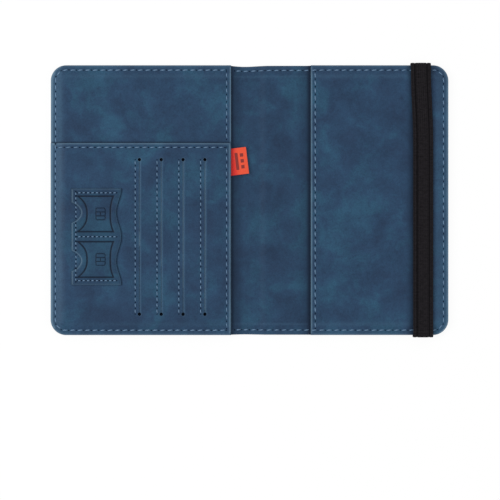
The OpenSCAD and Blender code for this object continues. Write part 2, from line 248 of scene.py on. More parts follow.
class TrimFinish(PropertyGroup):
    """Colours of thread, elastic, tag, cloth, board and foil."""

    thread: tint("Thread", (0.154, 0.264, 0.405), "Colour of the sewing thread")
    thread_dark: tint("Thread shade", (0.072, 0.135, 0.225), "Colour between the thread's plies")
    elastic: tint("Elastic", (0.0176, 0.0155, 0.0180), "Colour of the elastic's ribs")
    # Elastic shade is painted shade, darkening the hollows between the ribs and the two grooves.
    elastic_dark: tint("Elastic shade", (0.0025, 0.0022, 0.003), "Colour between the elastic's ribs")
    tag: tint("Tag", (0.84, 0.098, 0.040), "Colour of the tag's free part")
    # Tag root is the darker red of the painted shade at the tag's root beside the flap.
    tag_root_shade: tint("Tag root", (0.68, 0.026, 0.020), "Colour of the tag beside the flap")
    tag_mark: tint("Tag mark", (0.035, 0.018, 0.022), "Colour of the marks woven into the tag")
    cloth: tint("Cloth", (0.003, 0.005, 0.012), "Colour of the pocket cloth")
    board: tint("Board", (0.34, 0.27, 0.17), "Colour of the stiffening board")
    foil: tint("Foil", (0.62, 0.63, 0.64), "Colour of the shielding foil")


class StageSetup(PropertyGroup):
    """Camera, lights and floor."""

    lens: number("Lens", 100.0, "Focal length of the camera in millimetres", subtype="DISTANCE_CAMERA",
                 unit="CAMERA")
    view_width: length("View width", 273.5, "Width that the picture covers on the holder")
    centre: FloatVectorProperty(name="View centre", description="Point below the camera", size=2,
                                default=(0.22 * MM, -27.36 * MM), subtype="XYZ", unit="LENGTH")
    floor_size: length("Floor size", 6000, "Width of the floor")
    floor: tint("Floor", (0.86, 0.86, 0.86), "Colour of the floor")
    shadowless: share("Plain white", 0.9, "Share of plain white in the floor as the camera sees it")
    sky: share("Sky", 0.525, "Brightness of the light from all round")
    key: power("Key", 12.5, "Power of the light on the left")
    fill: power("Fill", 5.5, "Power of the light on the right")
    top: power("Top", 3.0, "Power of the light beyond the top edge")


class HolderSettings(PropertyGroup):
    """All values of the holder that a user may change."""

    cover: PointerProperty(type=CoverSizes)
    pocket: PointerProperty(type=PocketSizes)
    patch: PointerProperty(type=PatchSizes)
    stitch: PointerProperty(type=StitchSizes)
    trim: PointerProperty(type=TrimSizes)
    leather: PointerProperty(type=LeatherFinish)
    finish: PointerProperty(type=TrimFinish)
    stage: PointerProperty(type=StageSetup)


def values():
    """The holder's values in the open scene."""
    return bpy.context.scene.passport_holder


# Shapes of the leather

# Slow waves in soft leather, in radians per metre along s and y
BROAD_S, BROAD_Y = 205, 150
SLANT_S, SLANT_Y = 85, 235
SLANT_SHARE = 0.6

# How far the hem's step and the shapes beside a mouth or a fold reach
HEM_STEP = 1 * MM
FADE = 2 * MM


def rise(distance, width):
    """Smooth step from 0 at distance 0 to 1 at width."""
    t = np.clip(distance / width, 0.0, 1.0)
    return t * t * (3 - 2 * t)


def fall(distance, width):
    """Smooth step from 1 at distance 0 to 0 at width."""
    return 1 - rise(distance, width)


def ridge(distance, width):
    """Rounded ridge of height 1 along distance 0."""
    return np.exp(-((distance / width) ** 2))


def line_press(distance, width):
    """1 on a pressed line, falling to 0 just beside it."""
    return fall(np.abs(distance) - width / 4, width / 2)


def edge_distance(s, y):
    """Distance inward from a cover's outer edge."""
    radius = values().cover.corner_radius
    past_s = np.maximum(np.abs(s) - (REACH - radius), 0)
    past_y = np.maximum(np.abs(y) - (HALF_H - radius), 0)
    straight = np.minimum(REACH - np.abs(s), HALF_H - np.abs(y))
    return np.where((past_s > 0) & (past_y > 0), radius - np.hypot(past_s, past_y), straight)


def slow_waves(s, y, phase):
    """Unevenness of soft leather, between about -1 and 1."""
    broad = np.sin(BROAD_S * s + phase) * np.sin(BROAD_Y * y + 2 * phase)
    slanted = np.sin(SLANT_S * s - SLANT_Y * y + 3 * phase)
    return (broad + SLANT_SHARE * slanted) / (1 + SLANT_SHARE)


def sewn_swell(distance):
    """0 where a seam presses the leather flat, 1 where it has risen to its full height."""
    pocket = values().pocket
    return rise(distance - pocket.pressed, pocket.swell)


def below(face, thickness):
    """Hidden side of a sheet that keeps its thickness."""
    return lambda s, y: face(s, y) - thickness


def lining_top(s, y):
    """Height of the lining: low over the spine, higher over the boards, with the hem showing through."""
    cover = values().cover
    distance = edge_distance(s, y)
    on_board = rise(np.abs(s) - (FOLD - FADE), width=5 * MM)
    unevenness = 0.6 * values().pocket.unevenness * (1 - ridge(np.abs(s) - STRIP, FADE))
    soft = unevenness * slow_waves(s, y, phase=0.4) * sewn_swell(distance)
    hemmed = fall(distance - cover.hem + HEM_STEP / 2, HEM_STEP)
    seen = fall(np.abs(s) - POCKET_MOUTH + FADE, FADE)
    return SPINE_TOP + (LINING_TOP - SPINE_TOP) * on_board + soft + cover.hem_ridge * hemmed * seen


lining_under = below(lining_top, LINING_T)


def outer_face(s, y):
    """Height of the outer leather's face, which rolls up at its edges."""
    cover = values().cover
    rolled = edge_distance(s, y) - 0.8 * MM
    return cover.edge_roll * fall(rolled, cover.hem)


def outer_inside(s, y):
    """Height of the outer leather's hidden side: the hem by the edge, the board's bed within it."""
    hemmed = edge_distance(s, y) < values().cover.hem
    return np.where(hemmed, lining_under(s, y), OUTER_T)


def sewn_pocket(top, mouth, lift, phase):
    """Height of a passport pocket, pressed at its three sewn edges and lifted along its mouth."""
    def face(s, y):
        pocket = values().pocket
        swell = sewn_swell(edge_distance(s, y))
        gap = top - LINING_TOP - pocket.thickness
        soft = pocket.unevenness * slow_waves(s, y, phase) * swell
        return top - gap * (1 - swell) + soft + lift * ridge(s - mouth, width=3 * MM)

    return face


flap_top = sewn_pocket(FLAP_TOP, FLAP_MOUTH, lift=0.12 * MM, phase=1.3)
pocket_top = sewn_pocket(POCKET_TOP, POCKET_MOUTH, lift=0.14 * MM, phase=2.1)


def panel_top(s, y):
    """Height of the card panel, which lies on the flap and is open along its top edge."""
    thickness = values().pocket.thickness
    from_mouth = s - PANEL_MOUTH + 0.8 * MM
    swell = sewn_swell(np.minimum(edge_distance(s, y), from_mouth))
    return flap_top(s, y) + thickness + (PANEL_TOP - FLAP_TOP - thickness) * swell


def panel_face(s, y):
    """Height of the card panel with the lips of its slits: sunk towards the fore-edge, raised beyond."""
    pocket = values().pocket
    lips = np.zeros_like(s)
    for slit_x, slit_y, _ in SLITS:
        ends = rise(pocket.slit_span / 2 + 1.5 * MM - np.abs(y - slit_y), width=5 * MM)
        raised = ridge(s + slit_x + 0.75 * MM, width=0.7 * MM)
        sunk = 0.5 * ridge(s + slit_x - 0.9 * MM, width=1.0 * MM)
        lips += pocket.lip * ends * (raised - sunk)
    return panel_top(s, y) + lips


def patch_face(s, y):
    """Height of the SIM patch on the card panel."""
    return panel_top(s, y) + values().patch.thickness


def patch_mouth(y):
    """Place along s of the patch's wavy mouth."""
    turns = (y - PATCH_LOW.y) / PATCH_HEIGHT
    return values().patch.wave / 2 * (1 - np.cos(4 * math.pi * turns)) - PATCH_HIGH.x


def spine_dip(x, y):
    """Distance by which the soft edges are drawn in between flap and pocket, most at the spine's top."""
    cover = values().cover
    between = rise(x + FLAP_MOUTH, FADE) * rise(POCKET_MOUTH - x, FADE)
    pull = cover.edge_draw * between + cover.spine_dip * ridge(x + 2.4 * MM, width=7 * MM)
    inward_share = np.where(y > 0, 1.0, -0.3)
    return pull * inward_share * (np.abs(y) / HALF_H) ** 6


def lines(low, high, step, fine=()):
    """Grid lines from low to high, at most step apart, closer within the fine spans (from, to, step)."""
    marks = sorted({low, high, *(min(max(m, low), high) for span in fine for m in span[:2])})
    placed = [low]
    for start, end in zip(marks, marks[1:]):
        if end - start < TINY:
            continue
        middle = (start + end) / 2
        pitch = min([step, *(span[2] for span in fine if span[0] <= middle <= span[1])])
        count = max(1, math.ceil((end - start) / pitch - ROUND_OFF))
        placed += [start + (end - start) * (i + 1) / count for i in range(count)]
    return placed


def grid_lines(near, far, low, high, inset, cell, fine_s=(), fine_y=()):
    """Grid lines of a sheet along s and along y, drawn in for its rounded edges."""
    return lines(near + inset, far - inset, cell, fine_s), lines(low + inset, high - inset, cell, fine_y)


def full_height(fine=()):
    """Grid lines from the covers' bottom edge to their top edge."""
    cover = values().cover
    return lines(cover.edge_round - HALF_H, HALF_H - cover.edge_round, cover.cell, fine)


# Stitches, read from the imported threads

# How far apart the points of one stitch or the heights of one leather may lie
SAME_POINT = 0.001 * MM
SAME_HEIGHT = 0.1 * MM


def find_stitches(node):
    """Middle, heading and length of every stitch of a thread node."""
    bm = bmesh.new()
    bm.from_mesh(frame["nodes"][node].data)
    bmesh.ops.remove_doubles(bm, verts=bm.verts, dist=SAME_POINT)
    found, seen = [], set()
    for first in bm.verts:
        if first in seen:
            continue
        island, queue = [], [first]
        seen.add(first)
        while queue:
            vert = queue.pop()
            island.append(vert.co)
            for edge in vert.link_edges:
                other = edge.other_vert(vert)
                if other not in seen:
                    seen.add(other)
                    queue.append(other)
        points = np.array(island)
        middle = (points.min(0) + points.max(0)) / 2
        flat = points[:, :2] - middle[:2]
        heading = np.linalg.eigh(flat.T @ flat)[1][:, 1]
        run = flat @ heading
        found.append({"x": middle[0], "y": middle[1], "low": points[:, 2].min(), "node": node,
                      "heading": math.atan2(heading[1], heading[0]), "length": run.max() - run.min()})
    bm.free()
    return found


def spread_over_spine(found):
    """The stitches with those of the spine spread evenly across its folds, so that the seam runs on."""
    kept = [stitch for stitch in found if not stitch["node"].startswith("spine")]
    rows = {(st["y"], st["low"]): st for st in found if st["node"] == "spine_back_thread"}.values()
    first = min(st["x"] for st in found if st["node"] == "back_outer_thread")
    for row in rows:
        part = "outer" if row["low"] < OUTER_T else "seam"
        owners = (f"front_{part}_thread", "spine", "spine", f"back_{part}_thread")
        for place, node in zip((-0.6, -0.2, 0.2, 0.6), owners):
            kept.append({**row, "x": place * first, "node": node})
    return kept


STITCHES = spread_over_spine([stitch for node in THREAD_NODES for stitch in find_stitches(node)])
LAYERS = {
    "outer": (outer_face, lambda x, z: z < OUTER_T),
    "lining": (lining_top, lambda x, z: OUTER_T < z < LINING_TOP + SAME_HEIGHT),
    "flap": (flap_top, lambda x, z: x < 0 and abs(z - FLAP_TOP) < SAME_HEIGHT),
    "pocket": (pocket_top, lambda x, z: x > 0 and abs(z - POCKET_TOP) < SAME_HEIGHT),
    "panel": (panel_top, lambda x, z: abs(z - PANEL_TOP) < SAME_HEIGHT),
    "patch": (patch_face, lambda x, z: abs(z - PATCH_HIGH.z) < SAME_HEIGHT),
}


def layer_of(stitch):
    """Name of the leather that a stitch lies on."""
    return next(name for name, (_, fits) in LAYERS.items() if fits(stitch["x"], stitch["low"]))


def stitches_on(layer, side, near, far):
    """Stitches that lie on a leather between two distances from the middle of the spine."""
    return [st for st in STITCHES if layer_of(st) == layer and near <= side * st["x"] <= far]


def along(stitch, distance):
    """Place at a distance from a stitch's middle, in its heading."""
    return (stitch["x"] + distance * math.cos(stitch["heading"]),
            stitch["y"] + distance * math.sin(stitch["heading"]))


def hole_places(found):
    """Places where the needle went through, one between each two stitches."""
    gap = values().stitch.gap
    places = []
    for stitch in found:
        half = (stitch["length"] + gap) / 2
        for x, y in (along(stitch, -half), along(stitch, half)):
            if all(math.hypot(x - px, y - py) > gap / 2 for px, py, _ in places):
                places.append((x, y, stitch))
    return places


def search_tree(places):
    """Search tree of a list of places (x, y)."""
    tree = KDTree(len(places))
    for i, place in enumerate(places):
        tree.insert((*place, 0), i)
    tree.balance()
    return tree


def seam_tree(found):
    """Search tree of places along the stitches."""
    gap = values().stitch.gap
    return search_tree([along(stitch, t * (stitch["length"] + gap) / 2)
                        for stitch in found for t in np.linspace(-1, 1, num=9)])


def nearest(tree, places):
    """Number of the nearest place of a search tree for each place (x, y), and its distance."""
    found = [tree.find((*place, 0)) for place in places]
    return np.array([index for _, index, _ in found]), np.array([distance for _, _, distance in found])


# Leather sheets

# How light the edges are painted, and over what width: partly wear, partly painted highlight, strongest on edges
# that face the left
FRONT_FORE_WEAR_AND_SHEEN = (1.0, 1.6 * MM)
BACK_FORE_WEAR_AND_SHEEN = (0.6, 1.2 * MM)
SEWN_WEAR_AND_SHEEN = (0.3, 0.85 * MM)
PANEL_EDGE_WEAR_AND_SHEEN = (0.5, 0.85 * MM)
MOUTH_WEAR_AND_SHEEN = (0.66, 0.85 * MM)
COVER_WEAR_AND_SHEEN = (0.75, 1.3 * MM)
PATCH_MOUTH_WEAR_AND_SHEEN = (0.1, 0.7 * MM)
PATCH_END_WEAR_AND_SHEEN = (0.24, 0.8 * MM)
PATCH_NOTCH_WEAR_AND_SHEEN = (0.55, 0.85 * MM)

# Shares of the thickness at which an edge is rounded, width over which it bows down, and half width of the
# step where a hem ends
RIM_DEPTHS = (0.12, 0.38, 0.62, 0.88, 1)
BOW_WIDTH = 1.1 * MM
HEM_WALL = 0.1 * MM


def only(kind, geom):
    """The elements of one kind in some geometry."""
    return [g for g in geom if isinstance(g, kind)]


def start_grid(s_lines, y_lines, inset):
    """A flat grid on the given lines, with its corners rounded where it reaches a cover's corner."""
    bm = bmesh.new()
    bmesh.ops.create_grid(bm, x_segments=len(s_lines) - 1, y_segments=len(y_lines) - 1, size=0.5)
    outer = values().cover.corner_radius
    radius = outer - inset
    for vert in bm.verts:
        s = s_lines[round((vert.co.x + 0.5) * (len(s_lines) - 1))]
        y = y_lines[round((vert.co.y + 0.5) * (len(y_lines) - 1))]
        a = (s - (REACH - outer)) / radius
        b = (abs(y) - (HALF_H - outer)) / radius
        if a > 0 and b > 0:
            s = REACH - outer + radius * a * math.sqrt(1 - b * b / 2)
            y = math.copysign(HALF_H - outer + radius * b * math.sqrt(1 - a * a / 2), y)
        vert.co = (s, y, 0)
    return bm


def slit_ends():
    """Middles of the round holes that end the card slits, on the flat sheet."""
    half = values().pocket.slit_span / 2
    return [Vector((-x, y + end, 0)) for x, y, _ in SLITS for end in (-half, half)]


def cut_slits(bm, inset):
    """Opens the card slits with their round end holes in a flat grid that has lines for them."""
    pocket = values().pocket
    span, ends = pocket.slit_span, slit_ends()
    half = pocket.slit_width / 2 + inset
    radius = pocket.slit_hole / 2 + inset
    doomed = []
    for face in bm.faces:
        middle = face.calc_center_median()
        in_slit = any(abs(middle.x + x) < half and abs(middle.y - y) < span / 2 for x, y, _ in SLITS)
        if in_slit or any(max(abs(c) for c in middle - end) < radius for end in ends):
            doomed.append(face)
    bmesh.ops.delete(bm, geom=doomed, context="FACES")
    for end in ends:
        for vert in bm.verts:
            away = vert.co - end
            if abs(max(abs(away.x), abs(away.y)) - radius) < TINY:
                vert.co = end + away.normalized() * radius


def beside_slit(point):
    """Whether a point of the front cover lies by a card slit."""
    pocket = values().pocket
    reach = (pocket.slit_span + pocket.slit_hole) / 2 + 1 * MM
    return any(abs(point.x + x) < 2 * MM and abs(point.y - y) < reach for x, y, _ in SLITS)


def slit_lines(inset):
    """Fine spans of grid lines for the slits and their end holes, along s and along y."""
    pocket = values().pocket
    half = pocket.slit_width / 2 + inset
    radius = pocket.slit_hole / 2 + inset
    between = (radius + half) / 2
    offsets = [-radius, -between, -half, -half / 3, half / 3, half, between, radius]

    def spans(places):
        return [(place + a, place + b, radius) for place in places for a, b in zip(offsets, offsets[1:])]

    ends = slit_ends()
    return spans(end.x for end in ends[::2]), spans(end.y for end in ends[:2])


def inward(vert, joined):
    """Direction into the sheet at a point of its edge, in the plane of the sheet; none along a joint."""
    pulls = []
    for edge in vert.link_edges:
        if not edge.is_boundary:
            continue
        first, last = (v.co for v in edge.verts)
        if abs(first.x - last.x) < TINY and any(abs(first.x - place) < TINY for place in joined):
            continue
        run = (last - first).normalized()
        across = Vector((-run.y, run.x, 0))
        if across.dot(edge.link_faces[0].calc_center_median() - first) < 0:
            across.negate()
        pulls.append(across)
    if len(pulls) < 2:
        return sum(pulls, Vector((0, 0, 0)))
    return (pulls[0] + pulls[1]) / (1 + pulls[0].dot(pulls[1]))


def extrude_rim(bm, steps, joined):
    """Carries the sheet's edges through its thickness in steps of (distance inward, share of thickness)."""
    edges = [edge for edge in bm.edges if edge.is_boundary]
    ring = {vert: (vert.co.copy(), inward(vert, joined)) for edge in edges for vert in edge.verts}
    rim = [place for place, pull in ring.values() if pull.length > 0 and not beside_slit(place)]
    for distance, depth in steps:
        made = bmesh.ops.extrude_edge_only(bm, edges=edges)["geom"]
        edges = [edge for edge in only(bmesh.types.BMEdge, made) if edge.is_boundary]
        carried = {}
        for vert in only(bmesh.types.BMVert, made):
            before = next(e.other_vert(vert) for e in vert.link_edges if e.other_vert(vert) in ring)
            place, pull = ring[before]
            vert.co = place + pull * distance
            vert.co.z = depth
            carried[vert] = ring[before]
        ring = carried
    return edges, rim


def close_back(bm, edges, cuts, slit):
    """Closes the sheet's hidden side and cuts it into strips where it has to bend."""
    if slit:
        bmesh.ops.triangle_fill(bm, use_beauty=True, edges=edges)
        return
    back = bmesh.ops.edgeloop_fill(bm, edges=edges)["faces"]
    for cut in cuts:
        geom = list({g for face in back for g in (face, *face.edges, *face.verts)})
        made = bmesh.ops.bisect_plane(bm, geom=geom, dist=TINY, plane_co=(cut, 0, 0), plane_no=(1, 0, 0))
        back = only(bmesh.types.BMFace, made["geom"])


def rim_wear(place, side):
    """How light a sheet's edge is painted at a place, as wear and painted highlight, and over what width."""
    if REACH - place.x < 2 * MM:
        return FRONT_FORE_WEAR_AND_SHEEN if side < 0 else BACK_FORE_WEAR_AND_SHEEN
    if HALF_H - abs(place.y) < 1 * MM:
        return SEWN_WEAR_AND_SHEEN
    if side < 0 and abs(place.y - PANEL_EDGE) < 1 * MM:
        return PANEL_EDGE_WEAR_AND_SHEEN
    return MOUTH_WEAR_AND_SHEEN


def cover_wear(place, side):
    """How light the outer leather's edge is painted, as wear and painted highlight, also at top and bottom."""
    return rim_wear(place, side) if REACH - place.x < 2 * MM else COVER_WEAR_AND_SHEEN


def patch_wear(place, side):
    """Painted highlight and wear on the patch's edge: most at its notched side, hardly at its mouth."""
    if place.x < patch_mouth(place.y) + 0.5 * MM:
        return PATCH_MOUTH_WEAR_AND_SHEEN
    if min(PATCH_HIGH.y - place.y, place.y - PATCH_LOW.y) < 0.5 * MM:
        return PATCH_END_WEAR_AND_SHEEN
    return PATCH_NOTCH_WEAR_AND_SHEEN


def leather_sheet(name, side, s_lines, y_lines, face, back, joined=(), hem=0.0, cuts=(), slit=False,
                  found=(), press=None, press_depth=0.0, up=1, outline=None, soft_spine=False,
                  edge_round=None, shade=None, glow=None, polish=None, rubbed=1.0, wear=rim_wear,
                  bow=0.12 * MM):
    """A sheet with rounded edges and with seam furrows in its shown face.

    side is -1 on the front cover and 1 elsewhere, up is -1 where the shown face looks down, joined lists
    the places along s where the sheet runs on into the next piece, and outline moves the flat grid's points.
    press gives the places that are pressed in, shade those dark with painted shade, glow those painted lighter,
    partly paler leather and partly painted highlight, and polish the glossy ones. wear and
    rubbed say how far the edges are painted light, as wear and painted highlight, and bow how far
    they bow down.
    """
    inset = edge_round or values().cover.edge_round
    bm = start_grid(s_lines, y_lines, inset)
    if outline:
        for vert in bm.verts:
            vert.co = outline(vert.co)
    if slit:
        cut_slits(bm, inset)
    half_round = inset * math.sqrt(0.5)
    steps = list(zip((-half_round, -inset, -inset, -half_round, 0), RIM_DEPTHS))
    if hem:
        steps += [(hem - inset - HEM_WALL, 1), (hem - inset + HEM_WALL, 1)]
    edges, rim = extrude_rim(bm, steps, joined)
    close_back(bm, edges, cuts, slit)

    s, y, depth = np.array([vert.co for vert in bm.verts]).T
    x = side * s
    shown = depth < TINY
    places = list(zip(x, y))
    nearest_rim, from_edge = nearest(search_tree([(side * place.x, place.y) for place in rim]), places)
    wear_share, wear_width = np.array([wear(place, side) for place in rim])[nearest_rim].T
    nothing = np.zeros_like(s)
    marks = {"pale": glow, "pressed": press, "shade": shade}
    if polish:
        marks["polish"] = polish
    layers = {key: mark(s, y) * shown if mark else nothing for key, mark in marks.items()}
    # The edges are painted light here, partly as wear and partly as painted highlight.
    layers["worn"] = rubbed * wear_share * np.where(shown, fall(from_edge, wear_width), 1.0)

    stitch = values().stitch
    furrow = ridge(nearest(seam_tree(found), places)[1], stitch.furrow_width) * shown if found else nothing
    sunk = np.maximum(stitch.furrow_depth * furrow, press_depth * layers["pressed"])
    sunk += bow * fall(from_edge, BOW_WIDTH) * shown
    z = (face(s, y) - up * sunk) * (1 - depth) + back(s, y) * depth
    if soft_spine:
        y = y - spine_dip(x, y)
    for vert, place in zip(bm.verts, zip(x, y, z)):
        vert.co = place
    for key, data in layers.items():
        layer = bm.verts.layers.float.new(key)
        for vert, mark in zip(bm.verts, data):
            vert[layer] = mark
    bmesh.ops.remove_doubles(bm, verts=bm.verts, dist=TINY)
    bmesh.ops.recalc_face_normals(bm, faces=bm.faces)
    return finish_piece(name, bm, sharp=50)


def finish_piece(name, bm, sharp=None):
    """Makes an object of a finished bmesh, smooth but for the edges over an angle in degrees."""
    mesh = bpy.data.meshes.new(name)
    bm.to_mesh(mesh)
    bm.free()
    mesh.polygons.foreach_set("use_smooth", [True] * len(mesh.polygons))
    if sharp:
        mesh.set_sharp_from_angle(angle=math.radians(sharp))
    piece = bpy.data.objects.new(name, mesh)
    bpy.context.scene.collection.objects.link(piece)
    return piece


def dress(piece, material, slot, *nodes):
    """Gives a piece its material and hides the parts that it stands for; slot is not used."""
    piece.data.materials.append(material)
    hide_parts(*nodes)


def lay(piece, material, slot, node, body, flat):
    dress(piece, material, slot, node)
    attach(piece, body)


# Materials

class Value:
    """An output of a node, with which sums can be written."""

    def __init__(self, nodes, socket):
        self.nodes = nodes
        self.socket = socket

    def __add__(self, term):
        return self.nodes.math("ADD", self, term)

    def __sub__(self, term):
        return self.nodes.math("SUBTRACT", self, term)

    def __mul__(self, term):
        return self.nodes.math("MULTIPLY", self, term)


class Nodes:
    """A node tree that is built value by value."""

    def __init__(self, tree):
        self.tree = tree

    def plug(self, value, socket):
        """Links a value to a socket, or sets a plain number or colour there."""
        if isinstance(value, Value):
            self.tree.links.new(value.socket, socket)
        else:
            socket.default_value = (*value, 1) if socket.type == "RGBA" else value

    def add(self, kind, output, settings=None, numbered=(), **inputs):
        """Adds a node with its settings and its inputs, by number or name, and gives one of its outputs."""
        node = self.tree.nodes.new(kind)
        for key, setting in (settings or {}).items():
            setattr(node, key, setting)
        for key, value in (*numbered, *inputs.items()):
            self.plug(value, node.inputs[key])
        return Value(self, node.outputs[output])

    def math(self, operation, *terms):
        """Result of a sum on values and plain numbers."""
        return self.add("ShaderNodeMath", 0, {"operation": operation}, enumerate(terms))

    def show_white(self, lit, white, output, strength):
        """Shows plain white to the camera, to mirrors and to glass, and what is lit to all other rays."""
        kinds = ("Is Camera Ray", "Is Glossy Ray", "Is Transmission Ray")
        rays = [self.add("ShaderNodeLightPath", kind) for kind in kinds]
        seen = self.math("MAXIMUM", rays[0], self.math("MAXIMUM", rays[1], rays[2]))
        mixed = self.add("ShaderNodeMixShader", 0, None, [(1, lit), (2, white)], Fac=seen * strength)
        self.plug(mixed, self.tree.nodes[output].inputs["Surface"])


class Shader(Nodes):
    """The nodes of a new material."""

    def __init__(self, name):
        self.material = bpy.data.materials.new(name)
        self.material.use_nodes = True
        super().__init__(self.material.node_tree)
        self.surface = self.tree.nodes["Principled BSDF"]
        self.place = self.add("ShaderNodeTexCoord", "Object")
        self.map = self.add("ShaderNodeTexCoord", "UV")

    def noise(self, size, detail, place=None, distortion=0.0):
        """Noise whose features are about size across."""
        return self.add("ShaderNodeTexNoise", "Fac", Vector=place or self.place, Scale=1 / size,
                        Detail=detail, Distortion=distortion)

    def ramp(self, factor, *stops):
        """Colours blended along a factor, from (place, colour) stops."""
        result = self.add("ShaderNodeValToRGB", "Color", Fac=factor)
        elements = result.socket.node.color_ramp.elements
        while len(elements) < len(stops):
            elements.new(0.5)
        for element, (place, colour) in zip(elements, stops):
            element.position = place
            element.color = (*colour, 1)
        return result

    def mix(self, factor, first, second):
        """Blend of two colours."""
        colours = [(6, first), (7, second)]
        return self.add("ShaderNodeMix", 2, {"data_type": "RGBA"}, colours, Factor=factor)

    def attribute(self, name):
        """A value stored on the points of the piece."""
        return self.add("ShaderNodeAttribute", "Fac", {"attribute_name": name})

    def bump(self, height, distance, strength, **under):
        """Bump from a height, over another bump where one is given as Normal."""
        return self.add("ShaderNodeBump", "Normal", Height=height, Distance=distance, Strength=strength,
                        **under)

    def woven(self, place, *threads, swing=0.5):
        """Weave of two sets of ribs, each given by its pitch and the level about which its height swings."""
        heights = []
        for axis, (pitch, level) in zip("XY", threads):
            across = self.add("ShaderNodeSeparateXYZ", axis, Vector=place)
            heights.append(self.math("SINE", across * (2 * math.pi / pitch)) * swing + level)
        return heights[0] * heights[1]

    def within(self, value, middle, half):
        """1 where a value lies within half of a middle, else 0."""
        return self.math("LESS_THAN", self.math("ABSOLUTE", value - middle), half)

    def finish(self, **inputs):
        """Plugs values into the surface, where underscores stand for spaces, and gives the material."""
        for key, value in inputs.items():
            self.plug(value, self.surface.inputs[key.replace("_", " ")])
        return self.material


def dimmed(colour, brightness):
    """A colour at a share of its brightness."""
    return [c * brightness for c in colour]


def speckled(name, size, detail, dark, light, high=0.7, distortion=0.0, bump=None, **surface):
    """Shader of two tones blended by noise; bump gives the distance and strength of its bump, if any."""
    shader = Shader(name)
    specks = shader.noise(size, detail, distortion=distortion)
    if bump:
        surface["Normal"] = shader.bump(specks, *bump)
    shader.finish(Base_Color=shader.ramp(specks, (0.3, dark), (high, light)), **surface)
    return shader


def leather_material(name, tone=1.0, polished=False):
    """Mottled leather with fine grain, burnt lines, polish, edges painted light as wear and highlight, painted
    shade.
    """
    look = values().leather
    shader = Shader(name)
    clouds = shader.noise(look.cloud, 3, distortion=0.5)
    flecks = shader.noise(look.cloud / 5, 3, distortion=0.8)
    shades = [dimmed(colour, tone) for colour in (look.shade, look.body, look.glow)]
    colour = shader.ramp(clouds * 0.74 + flecks * 0.26, *zip((0.36, 0.5, 0.64), shades))
    # Places painted lighter: partly paler stretched leather, partly painted highlight.
    colour = shader.mix(shader.attribute("pale"), colour, look.pale)
    grain = shader.add("ShaderNodeTexVoronoi", "Distance", {"feature": "SMOOTH_F1"}, Vector=shader.place,
                       Scale=1 / look.grain, Smoothness=0.6)
    hollows = grain * 0.26 + shader.noise(look.grain * 1.7, 4) * 0.3
    smoke = shader.noise(look.cloud * 0.55, 4) * 0.42 - 0.14
    colour = shader.mix(hollows + smoke, colour, look.burnt)
    # Edges painted in the edge colour: partly wear, partly painted highlight.
    colour = shader.mix(shader.attribute("worn") * (clouds + 0.45) * 0.9, colour, look.edge)
    # Painted shade beside the mouths, the panel's edge, the patch and the band, in the needle hole colour.
    colour = shader.mix(shader.attribute("shade"), colour, look.hole)
    colour = shader.mix(shader.attribute("pressed") * 0.94, colour, look.burnt)
    normal = shader.bump(hollows, distance=0.16 * MM, strength=0.5)
    normal = shader.bump(shader.noise(2.6 * MM, 4), distance=0.14 * MM, strength=0.4, Normal=normal)
    if polished:
        shader.finish(Coat_Weight=shader.attribute("polish"), Coat_Roughness=look.polish_roughness)
    return shader.finish(Base_Color=colour, Roughness=clouds * 0.16 + (look.roughness - 0.08), Normal=normal,
                         Specular_IOR_Level=0.1)


def thread_material():
    """Twisted thread with darker hollows between its plies."""
    look = values().finish
    return speckled("thread", 0.25 * MM, 3, look.thread_dark, look.thread, high=0.6, bump=(0.06 * MM, 0.5),
                    Roughness=0.62, Specular_IOR_Level=0.18, Sheen_Weight=0.15).material


def hole_shade_material():
    """Dark colour that paints the shade in a needle hole."""
    look = values().leather
    return speckled("needle_hole", look.grain, 2, look.burnt, look.hole, Roughness=0.9,
                    Specular_IOR_Level=0.05).material


def elastic_material():
    """Black woven elastic: ribs along and across the band, with uneven picks drawn out across it."""
    look = values().finish
    shader = Shader("elastic")
    weave = shader.woven(shader.map, (1.15 * MM, 0.85), (0.8 * MM, 1.1))
    drawn_out = shader.add("ShaderNodeMapping", "Vector", Vector=shader.map, Scale=(0.3, 1, 1))
    picks = shader.noise(0.75 * MM, 2, drawn_out) * 0.9
    # The hollows between the ribs and the two grooves are darkened: painted shade.
    colour = shader.ramp(weave * 0.26 + picks, (0.32, look.elastic_dark), (0.88, look.elastic))
    colour = shader.mix(shader.attribute("groove"), colour, look.elastic_dark)
    normal = shader.bump(weave, distance=0.2 * MM, strength=0.8)
    return shader.finish(Base_Color=colour, Roughness=0.8, Normal=normal, Specular_IOR_Level=0.07)


def tag_marks(shader):
    """A plain bar and three squares on the tag's upper side, 1 where they are woven in."""
    trim = values().trim
    across, run = (shader.add("ShaderNodeSeparateXYZ", axis, Vector=shader.map) for axis in "XY")
    high, out = trim.tag_height, trim.tag_out
    marks = [(0.36 * out, 0.09 * out, 0, 0.32 * high)]
    marks += [(0.68 * out, 0.1 * out, place * high, 0.065 * high) for place in (-0.22, 0, 0.22)]
    woven = 0
    for middle, half, place, half_across in marks:
        in_run = shader.within(run, trim.tag_sewn + middle, half)
        woven = shader.math("MAXIMUM", in_run * shader.within(across, place, half_across), woven)
    return woven


